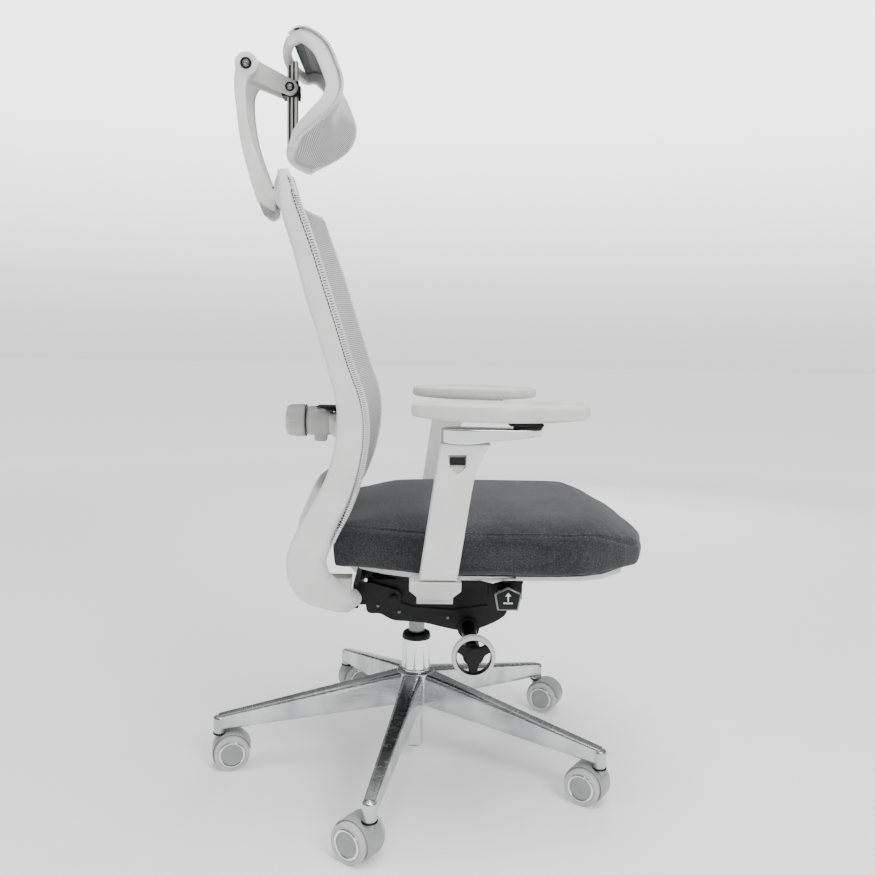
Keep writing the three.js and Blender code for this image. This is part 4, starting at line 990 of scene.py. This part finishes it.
armSize = {"x": 0.294, "thick": 0.036, "lean": math.tan(math.radians(8)), "foot": -0.028,
           "low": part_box("arm_sleeve_left")[0].z,
           "high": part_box("arm_sleeve_left")[1].z, "half": 0.027}


def leanAt(z):
    return armSize["foot"] - (z - armSize["low"]) * armSize["lean"]


def makeArm(side, word):
    low, high, half = armSize["low"], armSize["high"], armSize["half"]
    x0, x1 = armSize["x"] - armSize["thick"] / 2, armSize["x"] + armSize["thick"] / 2
    flare = [(leanAt(high - d) - half - 0.016 * (1 - d / 0.07) ** 2.4, high - d)
             for d in (0, 0.006, 0.013, 0.021, 0.03, 0.041, 0.055, 0.07)]
    outline = [(leanAt(low) - half, low), (leanAt(low) + half, low), (leanAt(high) + half + 0.001, high),
               *flare]
    bm = bmesh.new()
    sidePlate(bm, outline, x0, x1, 4 * mm, 5)
    sleeve = keep("arm_upright_" + word, bm, "white", "arm_" + word, ["arm_sleeve_" + word],
                  35)
    z = high - 0.024
    y = leanAt(z)
    bm = bmesh.new()
    recess = [(y - 0.0125, z + 0.009), (y - 0.012, z - 0.009), (y, z - 0.019), (y + 0.012, z - 0.009),
              (y + 0.0125, z + 0.009)]
    sidePlate(bm, recess, x1 - 0.0068, x1 + 0.01)
    cutter = bpy.data.objects.new("cutter", bpy.data.meshes.new("cutter"))
    bm.to_mesh(cutter.data)
    bm.free()
    scene.collection.objects.link(cutter)
    hollow = sleeve.modifiers.new("recess", "BOOLEAN")
    hollow.operation = "DIFFERENCE"
    hollow.object = cutter
    graph = bpy.context.evaluated_depsgraph_get()
    carved = bpy.data.meshes.new_from_object(sleeve.evaluated_get(graph))
    sleeve.modifiers.remove(hollow)
    sleeve.data = carved
    bpy.data.objects.remove(cutter)
    bm = bmesh.new()
    bm.from_mesh(carved)
    if side < 0:
        mirrorX(bm)
    bm.to_mesh(carved)
    bm.free()
    carved.set_sharp_from_angle(angle=math.radians(35))

    bm = bmesh.new()
    button = [(y - 0.0112, z + 0.0052), (y - 0.0106, z - 0.006), (y + 0.0106, z - 0.006),
              (y + 0.0112, z + 0.0052)]
    sidePlate(bm, button, x1 - 0.0044, x1 - 0.0014, 0.8 * mm, 3)
    for i in range(3):
        ridge = z + 0.003 - i * 0.0034
        block(bm, (x1 - 0.0016, y - 0.0085, ridge - 0.0006), (x1 - 0.0009, y + 0.0085, ridge + 0.0006),
              0.3 * mm, 1)
    keep("arm_height_button_" + word, bm, "shadowGap", "arm_button_" + word,
         ["arm_button_" + word], 35,
         side < 0)

    hub = Vector((armSize["x"], joints["arm_link_left_swing"]["pos_m"][1], 0))
    pivot = Vector((armSize["x"], joints["arm_pad_left_swivel"]["pos_m"][1], 0))
    bm = bmesh.new()
    floor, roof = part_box("arm_link_" + word)[0].z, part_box("arm_link_" + word)[1].z
    plan = []
    for i in range(25):
        angle = math.radians(-15 + 210 * i / 24)
        plan.append((hub.x + 0.026 * math.cos(angle), hub.y + 0.033 * math.sin(angle)))
    for i in range(17):
        angle = math.radians(200 + 140 * i / 16)
        plan.append((pivot.x + 0.018 * math.cos(angle), pivot.y - 0.002 + 0.018 * math.sin(angle)))
    verts = [bm.verts.new((px, py, floor)) for px, py in plan]
    face = bm.faces.new(verts)
    for share in (0.12, 0.88, 1.0):
        grown = bmesh.ops.extrude_face_region(bm, geom=[face])["geom"]
        face = [g for g in grown if isinstance(g, bmesh.types.BMFace)][0]
        bmesh.ops.translate(bm, verts=list(face.verts),
                            vec=(0, 0, floor + (roof - floor) * share - face.verts[0].co.z))
    # the underside sweeps up from the hub to the pad's pivot, the top dips between them
    for vert in bm.verts:
        f = (vert.co.z - floor) / (roof - floor)
        out = ease(hub.y - 0.020 - vert.co.y, 0, 0.055)
        bottom = floor + 0.0095 * out + 0.0015 * ease(hub.y - vert.co.y, 0.06, 0.09)
        near = (hub.y - vert.co.y) / 0.09
        dip = 0.0035 * ease(near, 0.2, 0.42) * (1 - ease(near, 0.62, 0.95))
        vert.co.z = bottom + (roof - dip - bottom) * f
    bmesh.ops.recalc_face_normals(bm, faces=bm.faces)
    rims = list({e for fc in bm.faces if len(fc.verts) > 8 for e in fc.edges})
    bmesh.ops.bevel(bm, geom=rims, offset=1.6 * mm, affect="EDGES", segments=4, profile=0.5, material=-1)
    keep("arm_swing_link_" + word, bm, "chrome", "arm_link_" + word, ["arm_link_" + word], 40,
         side < 0)

    low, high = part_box("arm_pad_plate_" + word)
    bm = bmesh.new()
    block(bm, (low.x + 0.002, low.y + 0.002, low.z + 0.0045),
          (high.x - 0.002, high.y - 0.002, high.z + 0.0001), 1.8 * mm, 3)
    middle = (low + high) / 2
    turn(bm, softProfile([(0.0001, 0), (0.021, 0), (0.021, 0.004), (0.0001, 0.004)], 1 * mm, 2),
         (middle.x, pivot.y, low.z - 0.0001), (0, 0, 1), 40)
    keep("arm_pad_turntable_" + word, bm, "black", "arm_pad_plate_" + word,
         ["arm_pad_plate_" + word], 35)

    low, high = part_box("arm_pad_" + word)
    bm = bmesh.new()
    bmesh.ops.create_cube(bm, size=2)
    bmesh.ops.subdivide_edges(bm, edges=bm.edges, cuts=15, use_grid_fill=True)
    middle, reach = (low + high) / 2, (high - low) / 2
    for vert in bm.verts:  # a long flat lozenge with a full round edge, wider in front
        x, y, h = vert.co
        spread = max(abs(x), abs(y))
        ring = 1 - 0.30 * (min(abs(x), abs(y)) / max(spread, 1e-6)) ** 2
        u, v = x * ring, y * ring
        rim = 1 - 0.085 * (1 - math.sqrt(max(1 - abs(h) ** 2.4, 0)))
        crownFall = 1 - 0.22 * spread ** 8
        shift = 1 + 0.05 * (-v)
        vert.co = (middle.x + u * rim * shift * reach.x * 0.97,
                   middle.y + v * (1 - (1 - rim) * 0.5) * reach.y * 0.995,
                   middle.z - 0.0004 + h * reach.z * crownFall * (1 - (0.05 if h > 0 else 0.22) * v * v))
    bmesh.ops.smooth_vert(bm, verts=bm.verts, factor=0.5, use_axis_x=True, use_axis_y=True, use_axis_z=True)
    piece = keep("arm_pad_skin_" + word, bm, "skin", "arm_pad_" + word, ["arm_pad_" + word], 180)
    smooth = piece.modifiers.new("smooth", "SUBSURF")
    smooth.levels = smooth.render_levels = 1

    refined("arm_bracket_" + word, "grey", 1.2 * mm)


for side, word in ((-1, "right"), (1, "left")):
    makeArm(side, word)
print("arms made")


baseSize = {"arms": 5, "first": 97.2, "reach": 0.342, "hubTop": 0.1644, "hubLow": 0.1034,
            "tipTop": 0.0934,
            "collar": 0.0594}


def makeStar():
    bm = bmesh.new()
    size = baseSize
    for i in range(size["arms"]):
        angle = math.radians(size["first"] + 72 * i)
        out = Vector((math.cos(angle), math.sin(angle), 0))
        cross = Vector((-math.sin(angle), math.cos(angle), 0))
        rows = []
        for f in (0, 0.12, 0.3, 0.5, 0.7, 0.88, 1.0):
            spot = out * (0.0198 + (size["reach"] - 0.0198) * f)
            width = 0.036 - 0.016 * f + 0.004 * (1 - f) ** 6
            depth = 0.058 - 0.032 * f
            top = size["hubTop"] - 0.001 + (size["tipTop"] - size["hubTop"] + 0.001) * f
            rows.append((spot.x, spot.y, top - depth / 2, depth, width))
        section = [(a, b * (1.0 - 0.07 * (1 - a) / 2)) for a, b in ovalSection(40, 0.3)]
        sweep(bm, rows, section, 30, side=cross)
        boss = softProfile([(0.0001, size["collar"]), (0.0105, size["collar"]),
                            (0.0112, size["tipTop"] - 0.004),
                            (0.0001, size["tipTop"] + 0.0002)], 3 * mm, 5)
        turn(bm, boss, out * size["reach"], steps=48)
    hub = [(0.0153, size["hubLow"] - 0.001), (0.030, size["hubLow"]), (0.0335, size["hubLow"] + 0.004),
           (0.0335, size["hubTop"] - 0.002), (0.031, size["hubTop"] + 0.0002), (0.0252,
                                                                                size["hubTop"] + 0.0002),
           (0.0252, size["hubTop"] - 0.004), (0.0153, size["hubTop"] - 0.008)]
    turn(bm, [hub[0], *softProfile(hub[1:-1], 1.2 * mm, 3), hub[-1]], steps=96, closed=True)
    keep("star_base", bm, "aluminium", "base", ["base_star"], 30)
    bm = bmesh.new()
    for i in range(size["arms"]):
        angle = math.radians(size["first"] + 72 * i)
        spot = Vector((math.cos(angle), math.sin(angle), 0)) * size["reach"]
        seal = [(0.0066, -0.0003), (0.0118, -0.0003), (0.0122, 0.0012), (0.0106, 0.0022), (0.0066, 0.0022)]
        turn(bm, [(r, size["collar"] + z) for r, z in seal], spot, steps=40, closed=True)
    keep("star_base_socket_rings", bm, "black", "base", sharp=35)


def makeLift():
    bm = bmesh.new()
    bore = 0.01435
    outer = softProfile([(0.0154, 0.0274), (0.0154, 0.1074), (0.022, 0.1154), (0.0243, 0.158),
                         (0.025, 0.1624), (0.025, 0.2212)], 1 * mm, 2)
    turn(bm, [(bore, 0.0276), *outer, (0.0244, 0.2216), (bore, 0.2216)], steps=96, closed=True)
    collar = [(0.0246, 0.1642), (0.0266, 0.1642), (0.0272, 0.1652), (0.0272, 0.1672), (0.0264, 0.1682),
              (0.0246, 0.1682)]
    turn(bm, collar, steps=96, closed=True)
    keep("lift_outer_tube", bm, "chrome", "base", ["lift_tube"], 30)
    bm = bmesh.new()
    cap = softProfile([(bore, 0.2218), (0.0252, 0.2218), (0.0252, 0.2262), (0.0236, 0.2312),
                       (0.0205, 0.2328), (bore + 0.0002, 0.2328)], 1 * mm, 3)
    turn(bm, cap, steps=80, closed=True)
    keep("lift_guide_bush", bm, "black", "base", ["lift_guide_cap"], 30)
    bm = bmesh.new()
    low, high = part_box("lift_cylinder")
    rod = softProfile([(0.0001, 0.1874), (0.0108, 0.1874), (0.0108, low.z), (0.014, low.z), (0.014, 0.2748),
                       (0.0131, high.z),
                       (0.0001, high.z)], 0.6 * mm, 2)
    turn(bm, rod, steps=80)
    keep("lift_gas_cylinder", bm, "steel", "lift", ["lift_cylinder"], 30)


# profiles are (radius, distance from the middle plane)
casterSize = {
    "tread": [(0.0036, 0.008), (0.0272, 0.008), (0.030, 0.0105), (0.030, 0.0252), (0.0284, 0.0279),
              (0.0238, 0.0279),
              (0.0226, 0.0262), (0.0036, 0.0262)],
    "ring": [(0.0186, 0.0262), (0.0226, 0.0262), (0.0224, 0.0276), (0.0206, 0.0283), (0.0188, 0.0276)],
    "disc": [(0.0001, 0.0262), (0.0188, 0.0262), (0.0188, 0.0268), (0.0150, 0.0276), (0.0092, 0.0279),
             (0.0088, 0.0274), (0.0001, 0.0272)],
    "hood": (0.0331, 0.0309), "hoodHalf": 0.0185}


def makeCaster(index):
    word = f"caster_{index}"
    stem = Vector(joints[word + "_swivel"]["pos_m"])
    spin = joints[word + "_wheel_a_spin"]
    hub, axle = Vector(spin["pos_m"]), Vector(spin["axis"]).normalized()
    if axle.dot(sum(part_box(word + "_wheel_a"), Vector()) / 2 - hub) < 0:
        axle.negate()
    trail = Vector((-axle.y, axle.x, 0))
    if trail.dot(hub - stem) < 0:
        trail.negate()
    place = Matrix(((axle.x, trail.x, 0, hub.x), (axle.y, trail.y, 0, hub.y), (0, 0, 1, hub.z), (0, 0, 0, 1)))
    for letter, side in (("a", 1), ("b", -1)):
        body = f"{word}_wheel_{letter}"
        for part, corner, steps, around, closed, look, slot, sharp in (
                ("tread", 1.4 * mm, 4, 72, True, "tread", "tread", 30),
                ("ring", 0.5 * mm, 3, 72, True, "chrome", "chrome", 40),
                ("disc", 0.4 * mm, 3, 64, False, "cap", "grey_plastic", 40)):
            bm = bmesh.new()
            turn(bm, softProfile(casterSize[part], corner, steps), hub, axle * side, around, closed)
            title = {"tread": "tread", "ring": "trim_ring", "disc": "hub_disc"}[part]
            keep(f"{body}_{title}", bm, look, body, [body] if part == "tread" else (), sharp)
    bm = bmesh.new()
    outer, inner = casterSize["hood"]
    rim = arcPoints((0, 0), outer, 8, 215, 40) + arcPoints((0, 0), inner, 215, 8, 40)
    sidePlate(bm, rim, -casterSize["hoodHalf"], casterSize["hoodHalf"], 0.8 * mm, 3)
    turn(bm, softProfile([(0.0001, -0.007), (0.026, -0.007), (0.026, 0.007), (0.0001, 0.007)], 1 * mm, 2),
         axis=(1, 0, 0), steps=40)
    turn(bm, [(0.0001, -0.0256), (0.0033, -0.0256), (0.0033, 0.0256), (0.0001, 0.0256)], axis=(1, 0, 0),
         steps=20)
    block(bm, (-0.006, -0.0245, -0.002), (0.006, 0.006, 0.0312), 1 * mm, 2)
    neck = softProfile([(0.0001, 0.006), (0.0074, 0.006), (0.0074, 0.0268), (0.0096, 0.0284),
                        (0.0096, 0.0290), (0.0001, 0.0290)], 0.3 * mm, 2)
    turn(bm, neck, (0, -0.020, 0), steps=36)  # slim between the wheels
    turn(bm, [(0.0001, 0.028), (0.0055, 0.028), (0.0055, 0.058), (0.0001, 0.058)], (0, -0.020, 0), steps=20)
    bmesh.ops.transform(bm, matrix=place, verts=bm.verts)
    if place.determinant() < 0:
        bmesh.ops.reverse_faces(bm, faces=bm.faces)
    keep(word + "_hood", bm, "cap", word, [word + "_housing"], 35)


makeStar()
makeLift()
for index in range(1, 6):
    makeCaster(index)
print("base made")


def makeMechanism():
    refined("mechanism_housing", "powder", 2.2 * mm)
    refined("seat_carrier", "powder", 1.0 * mm)
    corners = [(-138, 352), (-153.5, 322), (-152, 292), (-140, 279), (-120, 268.5), (-98, 260.5), (-72, 259),
               (-42, 264.5), (-14, 271), (14, 273.5),
               (40, 275.5), (62, 286), (84, 289.5), (86, 320), (84, 345)]
    outline = []
    for i in range(61):
        row = splineAt([(y * mm, z * mm) for y, z in corners], i / 60)
        outline.append(tuple(row))
    bm = bmesh.new()
    for side in (-1, 1):
        sidePlate(bm, outline, *sorted((side * 0.0766, side * 0.0792)), 1.0 * mm, 3)
        rib = [(y * mm, z * mm) for y,
               z in ((-120, 300), (-60, 291), (10, 296), (52, 312), (50, 316), (8, 301), (-60, 296),
                     (-118, 305))]
        sidePlate(bm, rib, *sorted((side * 0.0786, side * 0.0812)), 0.8 * mm, 2)
    keep("mechanism_side_covers", bm, "black", "mechanism", sharp=35)
    bm = bmesh.new()
    for side in (-1, 1):
        for y, z, r in ((0.040, 0.3168, 0.0066), (-0.125, 0.3428, 0.0066)):
            x = 0.0906 if y > 0 else 0.0862
            head = softProfile([(0.0001, -0.001), (r, -0.001), (r, 0.0028), (0.0001, 0.0036)], 0.8 * mm, 2)
            turn(bm, head, (side * x, y, z), (side, 0, 0), 32)
    keep("axle_caps", bm, "powder", "mechanism", sharp=35)
    bm = bmesh.new()
    for y, z in ((-0.052, 0.281), (0.030, 0.290), (-0.138, 0.300), (0.066, 0.300)):
        for side in (-1, 1):
            rivet = softProfile([(0.0001, -0.001), (0.0026, -0.001), (0.0026, 0.0012), (0.0001, 0.0020)],
                                0.5 * mm, 3)
            turn(bm, rivet, (side * 0.0792, y, z), (side, 0, 0), 24)
    keep("housing_rivets", bm, "steel", "mechanism", sharp=40)


def makeTensionKnob():
    centre, axis = Vector((-0.216, -0.087, 0.2638)), Vector((-1, 0, 0))
    bm = bmesh.new()
    rim = softProfile([(0.0276, 0.0), (0.0330, 0.0), (0.0340, 0.0045), (0.0340, 0.0095), (0.0328, 0.0139),
                       (0.0276, 0.0139)], 1.6 * mm, 4)
    turn(bm, rim, centre, axis, 96, closed=True)
    keep("tension_wheel_rim", bm, "grey", "tension_knob", ["tension_wheel"], 35)
    bm = bmesh.new()
    for i in range(3):
        angle = math.radians(270 + 120 * i)
        out = Vector((0, -math.cos(angle), math.sin(angle)))
        rows = [(*(centre + axis * 0.0055 + out * (0.006 + 0.0225 * f)),
                 0.0215 - 0.0125 * f + 0.006 * f ** 6, 0.0085) for f in (0, 0.3, 0.6, 1)]
        section = ovalSection(20, 0.4)
        sweep(bm, rows, section, 12, side=axis)
    hub = softProfile([(0.0132, -0.0042), (0.0166, -0.0042), (0.0166, 0.0035), (0.0128, 0.0102),
                       (0.0001, 0.0104)], 1.2 * mm, 4)
    turn(bm, hub, centre, axis, 56)
    band = softProfile([(0.0262, 0.0012), (0.0279, 0.0012), (0.0279, 0.0122), (0.0262, 0.0122)], 0.5 * mm, 2)
    turn(bm, band, centre, axis, 96, closed=True)
    keep("tension_wheel_spokes", bm, "black", "tension_knob", sharp=35)


# raised sign: an arrow over a bar for one handle, a tilted bar for the other
def paddleIcon(bm, side, centre):
    face = centre + Vector((side * 0.0002, 0, 0))

    def flat(outline):
        points = [(face.y + y * mm, face.z + z * mm) for y, z in outline]
        sidePlate(bm, points, *sorted((face.x, face.x + side * 0.0004)))

    if side < 0:
        flat([(-7, -8), (7, -8), (7, -6), (-7, -6)])
        flat([(-1, -4), (1, -4), (1, 4), (-1, 4)])
        flat([(-4.5, 3.6), (4.5, 3.6), (0, 9)])
    else:
        flat([(-8, -9), (3, -9), (3, -7), (-8, -7)])
        flat([(1.6, -7), (3.6, -7.6), (8.2, 6.4), (6.2, 7)])
        flat([(-7, 1), (-1, 1), (-1, 3), (-7, 3)])


def makePaddle(side, word):
    centre = Vector((0, -0.136, 0.3598))
    outline = [(0, 17), (21, 7), (16, -19), (-16, -19), (-21, 7)]
    grow = [(centre.y + y * mm, centre.z + z * mm) for y, z in outline]
    inset = [(centre.y + y * 0.86 * mm, centre.z + (z * 0.86 - 0.4) * mm) for y, z in outline]
    bm = bmesh.new()
    sidePlate(bm, grow, *sorted((side * 0.2334, side * 0.2396)), 2.4 * mm, 4)
    keep(word + "_rim", bm, "steel", word, [word], 35)
    bm = bmesh.new()
    sidePlate(bm, inset, *sorted((side * 0.2390, side * 0.2403)), 0.9 * mm, 3)
    rows = [(side * x, centre.y, centre.z, depth, width) for x, depth, width in
            ((0.1984, 0.010, 0.024), (0.208, 0.010, 0.025), (0.222, 0.012, 0.026), (0.234, 0.018, 0.029))]
    section = ovalSection(24, 0.4)
    sweep(bm, rows, section, 16, side=(0, 1, 0))
    keep(word + "_face", bm, "black", word, sharp=35)
    bm = bmesh.new()
    paddleIcon(bm, side, Vector((side * 0.2400, centre.y, centre.z)))
    bmesh.ops.recalc_face_normals(bm, faces=bm.faces)
    keep(word + "_sign", bm, "white", word, sharp=30)


makeMechanism()
makeTensionKnob()
makePaddle(-1, "height_paddle")
makePaddle(1, "tilt_lock_paddle")
for node, look in (("lift_piston_rod", "steel"), ("lift_retaining_clip", "steel"), ("tilt_spring", "steel"),
                   ("seat_axle", "steel"),
                   ("back_axle", "steel"), ("tension_shaft", "powder")):
    carry(node, look)
print("mechanism made")


# glow: the floor's own light near and far, air: light round the horizon and overhead, wall: what the
# camera sees
studio = {"floor": 40, "glow": (0.2, 1.0), "glowFrom": 0.9, "glowTo": 4.5, "air": (0.04, 0.62),
          "wall": (1.35, 3.8),
          "shining": ("ceilingPanel", "keyPanel"),
          # place, what it points at, width, height, power
          "panels": {"ceilingPanel": ((-0.3, -0.2, 2.9), (0, 0, 0.5), 1.9, 1.9, 84),
                     "keyPanel": ((-2.2, -1.2, 1.9), (0, 0, 0.6), 0.8, 1.1, 46),
                     "rearPanel": ((-1.3, 2.8, 1.7), (0, 0, 0.6), 1.2, 2.0, 26),
                     "farPanel": ((2.9, -0.9, 1.7), (0, 0, 0.6), 1.2, 1.8, 34)}}


def makeStudio():
    bm = bmesh.new()
    bmesh.ops.create_grid(bm, x_segments=1, y_segments=1, size=studio["floor"])
    mesh = bpy.data.meshes.new("studioFloor")
    bm.to_mesh(mesh)
    bm.free()
    floor = bpy.data.objects.new("studioFloor", mesh)
    floor.data.materials.append(looks["floor"])
    scene.collection.objects.link(floor)
    tree = looks["floor"].node_tree
    away = add(tree, "VectorMath", {"operation": "LENGTH"}, {0: add(tree, "TexCoord").outputs["Object"]})
    glow = add(tree, "MapRange", {"From Min": studio["glowFrom"], "From Max": studio["glowTo"],
                                  "To Min": studio["glow"][0], "To Max": studio["glow"][1]},
               {"Value": away.outputs["Value"]})
    shader = tree.nodes["Principled BSDF"]
    shader.inputs["Emission Color"].default_value = (1, 1, 1, 1)
    join(tree, shader, {"Emission Strength": glow})  # the far floor stays as pale as the near
    world = bpy.data.worlds.new("studioAir")
    world.use_nodes = True
    tree = world.node_tree
    place = add(tree, "SeparateXYZ", {}, {0: add(tree, "TexCoord").outputs["Generated"]})
    height = add(tree, "MapRange", {"From Min": 0.0, "From Max": 0.9, "To Min": studio["air"][0],
                                    "To Max": studio["air"][1]}, {"Value": place.outputs["Z"]})
    rise = add(tree, "MapRange", {"interpolation_type": "SMOOTHSTEP", "From Min": -0.02, "From Max": 0.3,
                                  "To Min": studio["wall"][0], "To Max": studio["wall"][1]},
               {"Value": place.outputs["Z"]})
    # the air is darker round the horizon, so metal has contrast; the camera sees bright paper instead
    air, wall = [add(tree, "Background", {"Color": (1, 1, 1, 1)}, {"Strength": light}) for light in (height,
                                                                                                     rise)]
    seen = add(tree, "MixShader", {}, {0: add(tree, "LightPath").outputs["Is Camera Ray"], 1: air, 2: wall})
    join(tree, tree.nodes["World Output"], {"Surface": seen})
    scene.world = world
    for name, (spot, aim, wide, tall, power) in studio["panels"].items():
        data = bpy.data.lights.new(name, "AREA")
        data.shape = "RECTANGLE"
        data.size, data.size_y = wide, tall
        data.energy = power
        lamp = bpy.data.objects.new(name, data)
        lamp.location = spot
        lamp.rotation_euler = (Vector(aim) - Vector(spot)).to_track_quat("-Z", "Y").to_euler()
        lamp.visible_camera = False
        lamp.visible_glossy = name in studio["shining"]
        scene.collection.objects.link(lamp)


view = {"lens": 37.08, "sensor": 36, "place": (-1.5639, 0.0076, 0.730),
        "right": (-0.02269, -0.99956, 0.01910),
        "up": (0.09679, 0.01682, 0.99516), "ahead": (0.99505, -0.02443, -0.09637)}


def makeCamera():
    data = bpy.data.cameras.new("camera")
    data.lens, data.sensor_width = view["lens"], view["sensor"]
    data.clip_start, data.clip_end = 0.05, 60
    camera = bpy.data.objects.new("camera", data)
    columns = Matrix((view["right"], view["up"], [-a for a in view["ahead"]])).transposed()
    camera.matrix_world = Matrix.Translation(view["place"]) @ columns.to_4x4()
    scene.collection.objects.link(camera)
    scene.camera = camera


makeStudio()
makeCamera()
